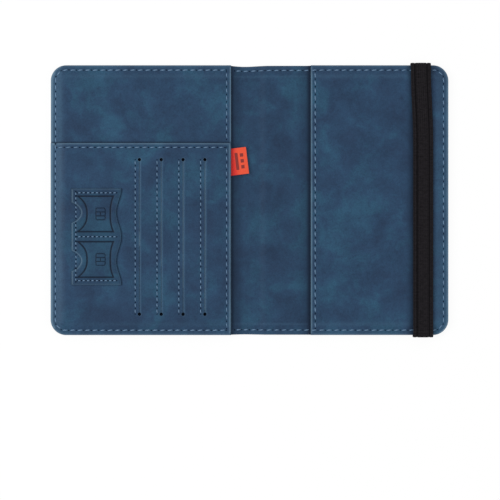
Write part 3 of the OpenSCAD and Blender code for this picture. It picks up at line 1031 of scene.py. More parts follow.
def tag_material():
    """Satin woven ribbon with plain dark marks woven in, and painted shade that makes its root redder."""
    look = values().finish
    shader = Shader("tag_satin")
    weave = shader.woven(shader.map, (0.34 * MM, 1.0), (0.3 * MM, 1.0))
    # Painted shade at the root, beside the flap.
    colour = shader.mix(shader.attribute("root"), look.tag, look.tag_root_shade)
    colour = shader.mix(tag_marks(shader) * 0.86, colour, look.tag_mark)
    colour = shader.mix(weave * 0.16, colour, look.tag_root_shade)
    normal = shader.bump(weave, distance=0.05 * MM, strength=0.5)
    return shader.finish(Base_Color=colour, Roughness=0.5, Normal=normal, Specular_IOR_Level=0.2,
                         Sheen_Weight=0.2)


def cloth_material():
    """Thin plain-woven cloth."""
    look = values().finish
    shader = Shader("pocket_cloth")
    weave = shader.woven(shader.place, (0.35 * MM, 0), (0.35 * MM, 0), swing=1)
    colour = shader.mix(weave * 0.3 + 0.5, look.cloth, dimmed(look.cloth, 0.6))
    normal = shader.bump(weave, distance=0.03 * MM, strength=0.5)
    return shader.finish(Base_Color=colour, Roughness=0.85, Normal=normal, Specular_IOR_Level=0.05)


def board_material():
    """Grey-brown stiffening board with paper fibres."""
    light = values().finish.board
    return speckled("board", 0.8 * MM, 5, dimmed(light, 0.75), light, distortion=1.5, bump=(0.05 * MM, 0.4),
                    Roughness=0.9).material


def foil_material():
    """Thin metal foil with faint creases."""
    light = values().finish.foil
    return speckled("foil", 6 * MM, 5, dimmed(light, 0.85), light, distortion=0.8, bump=(0.2 * MM, 0.5),
                    Metallic=1.0, Roughness=0.32).material


def floor_material():
    """Pale floor that keeps a soft shadow and looks white to the camera."""
    stage = values().stage
    shader = speckled("floor", 40 * MM, 2, dimmed(stage.floor, 0.985), stage.floor, Roughness=0.9,
                      Specular_IOR_Level=0.1)
    white = shader.add("ShaderNodeEmission", "Emission", Strength=1.02)
    shader.show_white(Value(shader, shader.surface.outputs[0]), white, "Material Output", stage.shadowless)
    return shader.material


# Generic ornament pressed into the front cover

ORNAMENT_S = FOLD + 55 * MM
ORNAMENT_LINE = 0.75 * MM
ORNAMENT_DEPTH = 0.36 * MM
ORNAMENT_SHARE = 0.78
# Height, number, half width and half height of the lozenges of each chain
CHAINS = ((42.5 * MM, 8, 4.4 * MM, 5.6 * MM), (-43 * MM, 13, 1.8 * MM, 1.9 * MM))
CHAIN_GAP = 0.4 * MM
ROSE_Y = 17 * MM
ROSE_RING = 8 * MM
ROSE_HUB = 3.4 * MM
# Reach and waist of the rose's long points and of its short ones
LONG_POINTS = (10.5 * MM, 1.9 * MM)
SHORT_POINTS = (7 * MM, 1.3 * MM)
RULE_Y = -52 * MM
RULE_HALF = 14 * MM
# Spans where the mesh is finer for the ornament
ORNAMENT_COLUMNS = [(FOLD + 14 * MM, FOLD + 96 * MM, 0.42 * MM)]
ORNAMENT_ROWS = [(35 * MM, 50 * MM, 0.4 * MM), (5 * MM, 29 * MM, 0.4 * MM), (-54 * MM, -40 * MM, 0.35 * MM)]


def lozenge_line(ds, dy, half_s, half_y):
    """Distance from the outline of a lozenge, negative inside."""
    slope = half_s * half_y / math.hypot(half_s, half_y)
    return (np.abs(ds) / half_s + np.abs(dy) / half_y - 1) * slope


def star_press(ds, dy, radius, waist):
    """1 inside a four-pointed star whose sides meet waist from both of its axes."""
    long, short = np.maximum(np.abs(ds), np.abs(dy)), np.minimum(np.abs(ds), np.abs(dy))
    inside = ((radius - long) * waist - short * (radius - waist)) / math.hypot(waist, radius - waist)
    return rise(inside + 0.15 * MM, width=0.3 * MM)


def cover_ornament(s, y):
    """Lozenge chains, a compass rose and a rule; how far the leather is pressed."""
    marks = []
    for chain_y, count, half_s, half_y in CHAINS:
        for i in range(count):
            away = s - (ORNAMENT_S + (2 * i - count + 1) * half_s), y - chain_y
            marks.append(line_press(lozenge_line(*away, half_s - CHAIN_GAP, half_y), ORNAMENT_LINE))
            marks.append(rise(-lozenge_line(*away, half_s / 3, half_y / 3), width=0.4 * MM))
    ds, dy = s - ORNAMENT_S, y - ROSE_Y
    turned = (ds + dy) * math.sqrt(0.5), (ds - dy) * math.sqrt(0.5)
    from_hub = np.hypot(ds, dy)
    marks.append(star_press(ds, dy, *LONG_POINTS))
    marks.append(star_press(*turned, *SHORT_POINTS) * (from_hub > ROSE_HUB))
    marks.append(line_press(from_hub - ROSE_RING, ORNAMENT_LINE))
    rule = np.maximum(np.abs(ds) - RULE_HALF, np.abs(y - RULE_Y) - ORNAMENT_LINE / 4)
    marks.append(line_press(np.maximum(rule, 0), ORNAMENT_LINE))
    return ORNAMENT_SHARE * np.maximum.reduce(marks)


# Covers

# Spacing of the mesh over the folds by the spine, and where it is hidden
BEND_CELL = 0.5 * MM
HIDDEN_CELL = 2.5 * MM

# How dark the painted shade on the lining is at each mouth, over what width, and how dark it is further out
FLAP_MOUTH_SHADE = (0.3, 2 * MM)
POCKET_MOUTH_SHADE = (0.62, 2.6 * MM)
FAR_MOUTH_SHADE = 0.46
MOST_SHADE = 0.95

# How light the leather is painted along its margins, partly paler leather and partly painted highlight, and over
# the spine as painted highlight
MARGIN_GLOW = 0.2
SPINE_HIGHLIGHT = 0.9


def bend_lines(high, step, fine=()):
    """Grid lines of a half sheet, finer over the fold by the spine."""
    return lines(STRIP, high, step, [*fine, (STRIP, BEND_END, BEND_CELL)])


def spine_cuts(s_lines):
    """Places where the hidden side is cut into strips by the spine."""
    return [s for s in s_lines if -STRIP < s < -TINY or TINY < s < BEND_END + FADE][::2]


def blend_over(piece, side):
    """Bakes the placing of a piece of a cover into its mesh."""
    side * BEND_END
    side * STRIP
    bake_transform(piece)


def blend_spine(piece):
    """Bakes the placing of a piece of the spine into its mesh."""
    -STRIP
    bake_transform(piece)


def mouth_shade(mouth, strength, width):
    """Painted shade on the lining along a pocket's mouth, dark beside it and faint further out."""
    def shade(s, y):
        beside = strength * fall(np.abs(s - mouth + 0.4 * MM), width)
        further = FAR_MOUTH_SHADE * fall(np.abs(s - mouth), width=9 * MM)
        return np.minimum(beside + further, MOST_SHADE)

    return shade


def hem_glow(strength, width, fore_edge=0.0):
    """Painted highlight and paler leather: a line on the hem's ridge, a margin, and more towards the fore-edge."""
    def glow(s, y):
        hem = values().cover.hem
        distance = edge_distance(s, y)
        margin = MARGIN_GLOW * rise(3.4 * MM - distance, width=1.6 * MM)
        fore = fore_edge * rise(hem + 1.6 * MM - REACH + np.abs(s), width=2.6 * MM)
        return np.maximum.reduce([strength * ridge(distance - hem, width), margin, fore])

    return glow


def cover_glow(s, y):
    """Painted highlight over the spine of the outer leather, and its lighter margins and fore-edges."""
    rubbed = SPINE_HIGHLIGHT * fall(np.abs(s) - FOLD - 1 * MM, width=9 * MM)
    return np.maximum(rubbed, hem_glow(0.2, 1.2 * MM, fore_edge=0.6)(s, y))


def spine_polish(s, y):
    """Gloss of the outer leather over the spine and its folds."""
    return values().leather.polish * fall(np.abs(s) - FOLD, width=8 * MM)


def cover_sheet(layer, leather, slot, node, strip, held, halves, face, back, **shared):
    """A sheet over both covers: a half on each and a strip over the spine.

    halves gives each half's lines along s and y and its own words for leather_sheet, and node and strip the
    ends of the names of the parts that the halves and the strip stand for.
    """
    pieces = {}
    for name, side in SIDES.items():
        s_lines, y_lines, own = halves[name]
        piece = leather_sheet(f"{name}_{layer}_leather", side, s_lines, y_lines, face, back, joined=(STRIP,),
                              cuts=spine_cuts(s_lines), found=stitches_on(layer, side, STRIP, REACH),
                              soft_spine=True, **own, **shared)
        dress(piece, leather, slot, f"{name}_{node}")
        blend_over(piece, side)
        pieces[name] = piece
    s_lines = lines(-STRIP, STRIP, BEND_CELL)
    spine = leather_sheet(f"spine_{layer}_leather", 1, s_lines, full_height(), face, back,
                          joined=(-STRIP, STRIP), cuts=spine_cuts(s_lines),
                          found=stitches_on(layer, 1, -FOLD, FOLD), soft_spine=True, **shared)
    dress(spine, leather, slot, f"spine_front_{strip}", f"spine_back_{strip}")
    blend_spine(spine)
    for name, piece in pieces.items():
        REACH - STRIP


class HOLDER_OT_outer(Operator):
    """Outer leather of the two covers and the spine"""

    bl_idname = "holder.outer"
    bl_label = "Outer leather"

    def execute(self, context):
        cover = values().cover
        far = REACH - cover.edge_round
        ornament = {"press": cover_ornament, "press_depth": ORNAMENT_DEPTH}
        halves = {
            "front": (bend_lines(far, cover.cell, ORNAMENT_COLUMNS), full_height(ORNAMENT_ROWS), ornament),
            "back": (bend_lines(far, cover.cell), full_height(), {}),
        }
        leather = leather_material("cover_leather", tone=1.04, polished=True)
        cover_sheet("outer", leather, "cover_leather", "outer_cover", "strip", "stretched", halves,
                    outer_face, outer_inside, hem=cover.hem, up=-1, glow=cover_glow, polish=spine_polish,
                    wear=cover_wear)
        return {"FINISHED"}


class HOLDER_OT_lining(Operator):
    """Lining of the two covers and the spine"""

    bl_idname = "holder.lining"
    bl_label = "Lining"

    def execute(self, context):
        cover = values().cover
        mouths = {"front": (FLAP_MOUTH, FLAP_MOUTH_SHADE), "back": (POCKET_MOUTH, POCKET_MOUTH_SHADE)}
        halves = {}
        for name, (mouth, shade) in mouths.items():
            seen = [(STRIP, mouth + 4 * MM, cover.cell)]
            columns = bend_lines(REACH - cover.edge_round, HIDDEN_CELL, seen)
            halves[name] = columns, full_height(), {"shade": mouth_shade(mouth, *shade)}
        leather = leather_material("lining_leather", tone=0.94)
        cover_sheet("lining", leather, "lining_leather", "lining", "lining", "laid", halves,
                    lining_top, lining_under, edge_round=LINING_T / 3, rubbed=0.3,
                    glow=hem_glow(0.5, 0.5 * MM))
        return {"FINISHED"}


# Pockets, card panel and patch

# How dark the painted shade is beside what lies on the leather, and how light the painted highlight is on the lips
# of the slits
PANEL_EDGE_SHADE = 0.8
BAND_SHADE = 0.72
FAR_BAND_SHADE = 0.08
PATCH_SHADE = 0.55
LIP_GLOW = 0.8

# How far the patch's thumb notches spread, and how full their curve and that of its marks are
NOTCH_SPREAD = 1.09
NOTCH_CURVE = 0.7
MARK_CURVE = 2.6

# Chip sign on the patch: its place in a mark, half width and height, corners, line and how far it is pressed
CHIP_PLACE = 7.6 * MM
CHIP_S, CHIP_Y = 2.5 * MM, 3.2 * MM
CHIP_CORNER = 0.8 * MM
CHIP_LINE = 0.42 * MM
CHIP_SHARE = 0.85


def edge_shade(s, y):
    """Painted shade on the flap along the card panel's top edge."""
    return PANEL_EDGE_SHADE * fall(np.abs(y - PANEL_EDGE), width=1.5 * MM) * (s > PANEL_MOUTH)


def band_shade(s, y):
    """Painted shadow of the elastic band on the back pocket, most on the side of the spine."""
    near = fall(RUN_LOW.x - s, width=4.4 * MM) * (s < RUN_MIDDLE.x)
    far = fall(s - RUN_HIGH.x, width=2 * MM) * (s > RUN_MIDDLE.x)
    return BAND_SHADE * near + FAR_BAND_SHADE * far


def patch_shade(s, y):
    """Painted shadow of the patch on the card panel along its mouth."""
    past = s - patch_mouth(y)
    beside = (np.abs(y - PATCH_MIDDLE) < PATCH_HEIGHT / 2) * (past < 2 * MM)
    return PATCH_SHADE * fall(-past, width=1.2 * MM) * beside


def panel_glow(s, y):
    """Painted highlight on the card panel: along its fore-edge and on the raised lip of each slit."""
    half = values().pocket.slit_span / 2
    pale = hem_glow(0.25, 1.2 * MM, fore_edge=0.7)(s, y)
    for slit_x, slit_y, _ in SLITS:
        in_span = rise(half - np.abs(y - slit_y), width=1 * MM)
        lip = fall(np.abs(s + slit_x + 0.65 * MM), width=0.75 * MM)
        pale = np.maximum(pale, LIP_GLOW * in_span * lip)
    return pale


def patch_outline(point):
    """Moves a flat grid's point onto the patch's wavy mouth and thumb notches."""
    notch = values().patch.notch
    near, far = -PATCH_HIGH.x, -PATCH_LOW.x
    across = (point.x - near) / (far - near)
    mouth = float(patch_mouth(point.y))
    notched = far
    for sign in (-1, 1):
        away = abs(point.y - PATCH_MIDDLE - sign * PATCH_HEIGHT / 4) / (NOTCH_SPREAD * notch)
        if away < 1:
            notched = far - notch * math.cos(away * math.pi / 2) ** NOTCH_CURVE
    return Vector((mouth + (notched - mouth) * across, point.y, 0))


def chip_press(ds, dy):
    """Contact plate of a chip, as thin lines: a rounded frame with a plain grid in it."""
    ds, dy = np.abs(ds), np.abs(dy)
    past = np.hypot(np.maximum(ds - CHIP_S + CHIP_CORNER, 0), np.maximum(dy - CHIP_Y + CHIP_CORNER, 0))
    from_frame = np.maximum.reduce([ds - CHIP_S, dy - CHIP_Y, past - CHIP_CORNER])
    upright = np.where(dy > CHIP_Y / 3, np.inf, ds)
    bars = line_press(np.minimum(np.abs(dy - CHIP_Y / 3), upright), CHIP_LINE) * (from_frame < 0)
    return CHIP_SHARE * np.maximum(line_press(from_frame, CHIP_LINE), bars)


def mark_press(s, y):
    """Pressed outlines of the two marked places, each with a plain chip sign."""
    patch = values().patch
    high = -PATCH_LOW.x - patch.mark_inset
    low = high - patch.mark_width
    marks = []
    for sign in (-1, 1):
        dy = y - PATCH_MIDDLE - sign * patch.mark_spacing / 2
        bow = 1 - np.clip(np.abs(2 * dy / patch.mark_height), 0, 1) ** MARK_CURVE
        slope = 2 * np.abs(dy) * (2 / patch.mark_height) ** 2
        left = (high - patch.mark_hollow * bow - s) / np.sqrt(1 + (patch.mark_hollow * slope) ** 2)
        right = (s - low - patch.mark_dent * bow) / np.sqrt(1 + (patch.mark_dent * slope) ** 2)
        inside = np.minimum.reduce([left, right, patch.mark_height / 2 - np.abs(dy)])
        marks.append(line_press(inside - patch.mark_line / 2, patch.mark_line))
        marks.append(chip_press(s - (low + CHIP_PLACE), dy))
    return np.maximum.reduce(marks)


class HOLDER_OT_pockets(Operator):
    """Front passport flap and back passport pocket"""

    bl_idname = "holder.pockets"
    bl_label = "Passport pockets"

    def execute(self, context):
        cover, thickness = values().cover, values().pocket.thickness
        leather = leather_material("pocket_leather")
        for name, node, layer, mouth, face, shade, fore_edge in (
                ("front", "passport_flap", "flap", FLAP_MOUTH, flap_top, edge_shade, 0.85),
                ("back", "back_pocket", "pocket", POCKET_MOUTH, pocket_top, band_shade, 0.4)):
            side = SIDES[name]
            grid = grid_lines(mouth, REACH, -HALF_H, HALF_H, cover.edge_round, cover.cell)
            piece = leather_sheet(f"{node}_leather", side, *grid, face, below(face, thickness), shade=shade,
                                  glow=hem_glow(0.4, 1.2 * MM, fore_edge),
                                  found=stitches_on(layer, side, mouth, REACH))
            lay(piece, leather, "pocket_leather", node, f"{name}_cover", flat=(REACH - mouth, 2 * HALF_H))
        return {"FINISHED"}


class HOLDER_OT_card_panel(Operator):
    """Card panel with its four slits, open along its top edge"""

    bl_idname = "holder.card_panel"
    bl_label = "Card panel"

    def execute(self, context):
        cover = values().cover
        inset = cover.edge_round
        grid = grid_lines(PANEL_MOUTH, REACH, -HALF_H, PANEL_EDGE, inset, cover.cell, *slit_lines(inset))
        under = below(panel_top, values().pocket.thickness)
        piece = leather_sheet("card_panel_leather", -1, *grid, panel_face, under, slit=True, glow=panel_glow,
                              shade=patch_shade, found=stitches_on("panel", -1, 0, REACH))
        lay(piece, leather_material("panel_leather"), "pocket_leather", "card_panel", "front_cover",
            flat=(REACH - PANEL_MOUTH, PANEL_EDGE + HALF_H))
        return {"FINISHED"}


class HOLDER_OT_sim_patch(Operator):
    """Patch with two marked places, thumb notches and a wavy mouth"""

    bl_idname = "holder.sim_patch"
    bl_label = "SIM patch"

    def execute(self, context):
        inset, cell = 0.24 * MM, 0.3 * MM
        grid = grid_lines(-PATCH_HIGH.x, -PATCH_LOW.x, PATCH_LOW.y, PATCH_HIGH.y, inset, cell)
        piece = leather_sheet("sim_patch_leather", -1, *grid, patch_face, panel_top, outline=patch_outline,
                              press=mark_press, press_depth=values().patch.mark_depth, edge_round=inset,
                              wear=patch_wear, bow=0.3 * MM, found=stitches_on("patch", -1, 0, REACH))
        leather = leather_material("patch_leather", tone=0.86)
        lay(piece, leather, "pocket_leather", "sim_patch", "front_cover",
            flat=(PATCH_HIGH.x - PATCH_LOW.x, PATCH_HEIGHT))
        return {"FINISHED"}


class HOLDER_OT_card_pockets(Operator):
    """Cloth of the card pockets behind the slits"""

    bl_idname = "holder.card_pockets"
    bl_label = "Card pocket cloths"

    def execute(self, context):
        thickness = values().trim.cloth
        inset, cell = thickness / 3, 1.5 * MM
        cloth = cloth_material()
        for i in range(len(SLITS)):
            node = f"card_pocket_{i + 1}"
            low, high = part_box(node)
            grid = grid_lines(-high.x, -low.x, low.y, high.y, inset, cell)
            face = below(panel_top, values().pocket.thickness + i * (high.z - low.z) + CLEARANCE)
            piece = leather_sheet(f"{node}_cloth", -1, *grid, face, below(face, thickness), edge_round=inset)
            lay(piece, cloth, "pocket_cloth", node, "front_cover", flat=(high.x - low.x, high.y - low.y))
        return {"FINISHED"}


# Seams

# Shares of the stitch pitch, the thread width and the hole radius in the seams
SEAM_SIZES = {
    "slit_thread": (0.66, 0.88, 0.8),
    "card_panel_thread": (0.66, 0.85, 1.05),
    "flap_mouth_thread": (0.66, 0.84, 0.9),
    "sim_patch_thread": (0.66, 0.9, 1.05),
    "back_seam_thread": (0.7, 0.9, 0.92),
}
OUTER_SEAM = (0.66, 0.72, 1.25)
INNER_SEAM = (0.72, 1.0, 1.0)

# Depth and twist of a thread's plies, and how a stitch's ends taper, in shares of its size
PLY_DEPTH = 0.17
PLY_TWIST = 1.7
END_TAPER = 0.6
STITCH_LIFT = 0.3
END_DIVE = 0.98


def stitch_template(bm):
    """One stitch of two twisted plies, 1 long, 1 wide and 1 high, whose ends dive into the leather."""
    made = bmesh.ops.create_cone(bm, cap_ends=True, segments=8, radius1=0.5, radius2=0.5, depth=1)
    bmesh.ops.rotate(bm, verts=made["verts"], cent=(0, 0, 0), matrix=Matrix.Rotation(math.pi / 2, 3, "Y"))
    long_edges = [e for e in bm.edges if abs(e.verts[0].co.x - e.verts[1].co.x) > 0.5]
    bmesh.ops.subdivide_edges(bm, edges=long_edges, cuts=5)
    for vert in bm.verts:
        t = 2 * vert.co.x
        turn = math.atan2(vert.co.z, vert.co.y)
        ply = 1 + PLY_DEPTH * math.cos(2 * (turn - PLY_TWIST * t))
        width = ply * math.sqrt(1 - END_TAPER * t * t)
        vert.co.y *= width
        vert.co.z = vert.co.z * width + STITCH_LIFT - END_DIVE * t * t
    return bm.verts[:] + bm.edges[:] + bm.faces[:]


def hole_template(bm, radius, height):
    """The torn rim of one needle hole, in the second material, which paints the shade in the hole dark."""
    verts = bmesh.ops.create_cone(bm, segments=8, radius1=radius, radius2=0, depth=height)["verts"]
    bmesh.ops.translate(bm, verts=verts, vec=(0, 0, height / 2))
    for face in {face for vert in verts for face in vert.link_faces}:
        face.material_index = 1
    return list({g for vert in verts for g in (vert, *vert.link_edges, *vert.link_faces)})


def sew(name, found, up=1):
    """Stitches of one seam with their needle holes, as one piece."""
    sizes = values().stitch
    pitch_share, wide, hole = SEAM_SIZES.get(found[0]["node"], INNER_SEAM if up > 0 else OUTER_SEAM)
    bm = bmesh.new()
    stitch_shape = stitch_template(bm)
    hole_shape = hole_template(bm, hole * sizes.hole_radius, sizes.hole_rise)

    def place_copy(shape, x, y, stitch, turn_and_size):
        layer = layer_of(stitch)
        place = np.array([x]), np.array([y])
        z = LAYERS[layer][0](np.abs(place[0]), place[1])[0] - up * sizes.furrow_depth
        drawn = spine_dip(*place)[0] if layer in ("outer", "lining") else 0
        copied = bmesh.ops.duplicate(bm, geom=shape)["geom"]
        bmesh.ops.transform(bm, matrix=Matrix.Translation((x, y - drawn, z)) @ turn_and_size,
                            verts=only(bmesh.types.BMVert, copied))

    for stitch in found:
        long = pitch_share * (stitch["length"] + sizes.gap)
        turn = Matrix.Rotation(stitch["heading"] + sizes.slant, 4, "Z")
        size = Matrix.Diagonal((long, wide * sizes.width, sizes.height * up, 1))
        place_copy(stitch_shape, stitch["x"], stitch["y"], stitch, turn @ size)
    for x, y, stitch in hole_places(found):
        place_copy(hole_shape, x, y, stitch, Matrix.Diagonal((1, 1, up, 1)))
    bmesh.ops.delete(bm, geom=only(bmesh.types.BMVert, stitch_shape + hole_shape), context="VERTS")
    bmesh.ops.recalc_face_normals(bm, faces=[face for face in bm.faces if face.material_index == 0])
    for face in bm.faces:
        if face.material_index == 1 and face.normal.z * up < 0:
            face.normal_flip()
    return finish_piece(name, bm)


class HOLDER_OT_seams(Operator):
    """Every row of stitches"""

    bl_idname = "holder.seams"
    bl_label = "Seams"

    def execute(self, context):
        thread, hole = thread_material(), hole_shade_material()
        for node in THREAD_NODES:
            if node.startswith("spine"):
                continue
            found = [stitch for stitch in STITCHES if stitch["node"] == node]
            piece = sew(node.replace("_thread", "_stitches"), found, -1 if "outer" in node else 1)
            dress(piece, thread, "thread", node)
            piece.data.materials.append(hole)
            if node.endswith(("_seam_thread", "_outer_thread")):
                blend_over(piece, -1 if node.startswith("front") else 1)
            else:
                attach(piece, "back_cover" if node.startswith("back") else "front_cover")
        for layer, up in (("lining", 1), ("outer", -1)):
            found = [st for st in STITCHES if st["node"] == "spine" and layer_of(st) == layer]
            piece = sew(f"spine_{layer}_stitches", found, up)
            dress(piece, thread, "thread", "spine_front_thread", "spine_back_thread")
            piece.data.materials.append(hole)
            blend_spine(piece)
        return {"FINISHED"}


# Tag and band

# Where the painted shade at the tag's root starts to fade, and over what share of its length
ROOT_START, ROOT_WIDTH = 0.12, 0.4

# Places of the band's grooves, from its middle at 0 to its edge at 1, and the band's crown
GROOVE_PLACE, GROOVE_WIDTH = 0.6, 0.07
BAND_CROWN = 0.12


def ribbon(name, route, width, thickness, place, profile, cells):
    """A flat band along a route of (run, height) points.

    place turns (across, run, height) into a point, and profile gives the share of the thickness at a place
    across, from 0 in the middle to 1 at the edge.
    """
    points = np.array(route)
    travelled = np.concatenate([[0], np.cumsum(np.hypot(*np.diff(points, axis=0).T))])
    tangents = np.gradient(points, travelled, axis=0)
    tangents /= np.linalg.norm(tangents, axis=1)[:, None]
    bm = bmesh.new()
    bmesh.ops.create_grid(bm, x_segments=cells, y_segments=len(route) - 1, size=0.5)
    bmesh.ops.translate(bm, verts=bm.verts, vec=(0, 0, 0.5))
    made = bmesh.ops.extrude_face_region(bm, geom=bm.faces[:])["geom"]
    bmesh.ops.translate(bm, verts=only(bmesh.types.BMVert, made), vec=(0, 0, -1))
    step_of = {vert: round((vert.co.y + 0.5) * (len(route) - 1)) for vert in bm.verts}
    uv = bm.loops.layers.uv.new("UVMap")
    for face in bm.faces:
        for loop in face.loops:
            loop[uv].uv = (loop.vert.co.x * width, travelled[step_of[loop.vert]])
    for vert, step in step_of.items():
        (run, height), (onward, upward) = points[step], tangents[step]
        off = vert.co.z * thickness * profile(abs(vert.co.x) * 2)
        vert.co = place(vert.co.x * width, run - upward * off, height + onward * off)
    bmesh.ops.recalc_face_normals(bm, faces=bm.faces)
    return finish_piece(name, bm, sharp=60)


def arc(centre, radius, start, end, count):
    """Points along an arc between two angles in degrees."""
    angles = np.radians(np.linspace(start, end, count))
    return [(centre[0] + radius * math.cos(a), centre[1] + radius * math.sin(a)) for a in angles]


def rounded(out, start, least):
    """Share of a ribbon's thickness at a place across, rounded from start to the edge at 1."""
    return math.sqrt(max(1 - max((out - start) / (1 - start), 0) ** 2, least))


class HOLDER_OT_tag(Operator):
    """Woven tag, folded at its free end and sewn under the flap"""

    bl_idname = "holder.tag"
    bl_label = "Woven tag"

    def execute(self, context):
        trim = values().trim
        fold = 0.6 * trim.tag_ply + CLEARANCE
        root, tip = -trim.tag_sewn, trim.tag_out - fold - trim.tag_ply / 2

        def droop(run):
            return trim.tag_droop * math.sin(math.pi * max(run, 0) / trim.tag_out)

        runs = np.linspace(root, tip, num=30)[:-1]
        upper = [(run, droop(run) + fold) for run in runs]
        lower = [(run, droop(run) - fold) for run in reversed(runs)]
        route = upper + arc((tip, droop(tip)), fold, 90, -90, count=9) + lower
        centre = Vector((-FLAP_MOUTH, TAG_MIDDLE.y, TAG_MIDDLE.z))
        turn = Matrix.Rotation(trim.tag_tilt, 3, "Z")

        def place(across, run, height):
            return centre + turn @ Vector((run, across, height))

        def profile(out):
            return rounded(out, start=0.96, least=0.09)

        piece = ribbon("woven_tag_ribbon", route, trim.tag_height, trim.tag_ply, place, profile, cells=48)
        back = turn.transposed()
        runs = np.array([(back @ (vert.co - centre)).x for vert in piece.data.vertices]) / trim.tag_out
        # Painted shade, darkest at the tag's root beside the flap.
        root_shade = fall(runs - ROOT_START, ROOT_WIDTH)
        piece.data.attributes.new("root", "FLOAT", "POINT").data.foreach_set("value", root_shade)
        dress(piece, tag_material(), "tag", "woven_tag")
        -BEND_END
        -STRIP
        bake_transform(piece)
        return {"FINISHED"}


class HOLDER_OT_band(Operator):
    """Elastic band from hem to hem over the back cover's inner side"""

    bl_idname = "holder.band"
    bl_label = "Elastic band"

    def execute(self, context):
        trim = values().trim
        width = RUN_HIGH.x - RUN_LOW.x
        thickness = LEG_HIGH.y - LEG_LOW.y
        leg_y = (LEG_LOW.y + LEG_HIGH.y) / 2
        run_z = (RUN_LOW.z + RUN_HIGH.z) / 2
        exit_z = LINING_TOP - LINING_T
        root, bend = trim.band_root, trim.band_bend
        half = [(HALF_H - trim.band_sewn, exit_z)]
        half += arc((leg_y - root, exit_z + root), root, -90, 0, count=7)
        half += arc((leg_y - bend, run_z - bend), bend, 0, 90, count=11)
        half += [(y, run_z - trim.band_sag * rise(leg_y - bend - y, width=14 * MM))
                 for y in np.linspace(leg_y - bend, 0, num=60)[1:]]
        route = half + [(-y, z) for y, z in reversed(half[:-1])]

        def place(across, run, height):
            lean = trim.band_lean * rise(run - HALF_H + 42 * MM, width=42 * MM)
            return Vector((RUN_MIDDLE.x + across - lean, run, height))

        def profile(out):
            crown = 1 + BAND_CROWN * (1 - out * out)
            groove = trim.band_groove / thickness * ridge(out - GROOVE_PLACE, GROOVE_WIDTH)
            return (crown - 2 * groove) * rounded(out, start=0.92, least=0.16)

        piece = ribbon("elastic_band", route, width, thickness, place, profile, cells=40)
        across = np.array([loop.uv.x for loop in piece.data.uv_layers[0].data])
        # Mask of the painted shade in the band's two grooves.
        grooved = ridge(np.abs(across) - GROOVE_PLACE * width / 2, width=0.4 * MM)
        piece.data.attributes.new("groove", "FLOAT", "CORNER").data.foreach_set("value", grooved)
        dress(piece, elastic_material(), "elastic", "band_front_run", "band_upper_leg", "band_lower_leg",
              "band_upper_end", "band_lower_end")
        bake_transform(piece)
        return {"FINISHED"}


class HOLDER_OT_core(Operator):
    """Finish of the boards and foils inside the covers"""

    bl_idname = "holder.core"
    bl_label = "Boards and foils"

    def execute(self, context):
        finishes = {"board": board_material(), "shield_foil": foil_material()}
        for cover in SIDES:
            for part, material in finishes.items():
                node = frame["nodes"][f"{cover}_{part}"]
                node.data.materials.clear()
                node.data.materials.append(material)
        return {"FINISHED"}


# Stage

# Place and size of each lamp, in metres
LAMPS = {"key": ((-1.2, 0.1, 1.0), 0.8), "fill": ((1.3, -0.4, 1.1), 0.9), "top": ((0.1, 1.3, 1.0), 0.9)}
WHITE = (1, 1, 1)


def soft_light(name, place, size, watts):
    """A square lamp aimed at the holder."""
    lamp = bpy.data.lights.new(name, "AREA")
    lamp.size = size
    lamp.energy = watts
    light = bpy.data.objects.new(name, lamp)
    light.location = place
    light.rotation_euler = (-Vector(place)).to_track_quat("-Z", "Y").to_euler()
    bpy.context.scene.collection.objects.link(light)


def even_sky(brightness):
    """A world that lights evenly from all round and looks white itself."""
    world = bpy.data.worlds.new("studio")
    world.use_nodes = True
    nodes = Nodes(world.node_tree)
    sky = nodes.tree.nodes["Background"]
    nodes.plug(WHITE, sky.inputs["Color"])
    nodes.plug(brightness, sky.inputs["Strength"])
    white = nodes.add("ShaderNodeBackground", "Background", Color=WHITE, Strength=1.0)
    nodes.show_white(Value(nodes, sky.outputs[0]), white, "World Output", 1.0)
    return world


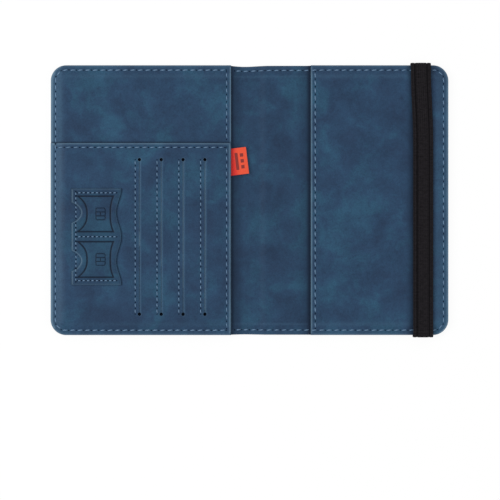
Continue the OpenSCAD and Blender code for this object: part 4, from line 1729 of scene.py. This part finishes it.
class HOLDER_OT_stage(Operator):
    """Floor, lights and camera"""

    bl_idname = "holder.stage"
    bl_label = "Stage"

    def execute(self, context):
        stage = values().stage
        scene = context.scene
        scene.view_settings.view_transform = "Standard"
        bm = bmesh.new()
        bmesh.ops.create_grid(bm, x_segments=1, y_segments=1, size=stage.floor_size / 2)
        bmesh.ops.translate(bm, verts=bm.verts, vec=(0, 0, -CLEARANCE))
        floor = finish_piece("floor", bm)
        floor.data.materials.append(floor_material())
        floor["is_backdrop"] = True
        scene.world = even_sky(stage.sky)
        for name, (place, size) in LAMPS.items():
            soft_light(name, place, size, getattr(stage, name))

        camera = bpy.data.cameras.new("camera")
        camera.lens = stage.lens
        holder = bpy.data.objects.new("camera", camera)
        holder.location = (*stage.centre, stage.view_width * stage.lens / camera.sensor_width + PANEL_TOP)
        scene.collection.objects.link(holder)
        scene.camera = holder
        return {"FINISHED"}


# Add-on

OPERATORS = (HOLDER_OT_stage, HOLDER_OT_outer, HOLDER_OT_lining, HOLDER_OT_pockets, HOLDER_OT_card_panel,
             HOLDER_OT_sim_patch, HOLDER_OT_card_pockets, HOLDER_OT_seams, HOLDER_OT_tag, HOLDER_OT_band,
             HOLDER_OT_core)


class HOLDER_PT_sidebar(Panel):
    """Sidebar that lists the holder's pieces and values"""

    bl_idname = "HOLDER_PT_sidebar"
    bl_label = "Passport holder"
    bl_space_type = "VIEW_3D"
    bl_region_type = "UI"
    bl_category = "Holder"

    def draw(self, context):
        for operator in OPERATORS:
            self.layout.operator(operator.bl_idname)
        for name in HolderSettings.__annotations__:
            group = getattr(context.scene.passport_holder, name)
            box = self.layout.box()
            for key in group.__annotations__:
                box.prop(group, key)


CLASSES = (CoverSizes, PocketSizes, PatchSizes, StitchSizes, TrimSizes, LeatherFinish, TrimFinish,
           StageSetup, HolderSettings, *OPERATORS, HOLDER_PT_sidebar)


def register():
    """Adds the classes and the holder's values to Blender."""
    for cls in CLASSES:
        bpy.utils.register_class(cls)
    bpy.types.Scene.passport_holder = PointerProperty(type=HolderSettings)


def unregister():
    """Takes them out again."""
    del bpy.types.Scene.passport_holder
    for cls in reversed(CLASSES):
        bpy.utils.unregister_class(cls)


def main():
    """Builds the holder piece by piece and works out its size."""
    register()
    for operator in OPERATORS:
        group, name = operator.bl_idname.split(".")
        getattr(getattr(bpy.ops, group), name)()
    boxes = {"cad": CAD_BOX, "visual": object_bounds()}
    {key: [list(corner) for corner in box] for key, box in boxes.items()}


if __name__ == "__main__":
    main()
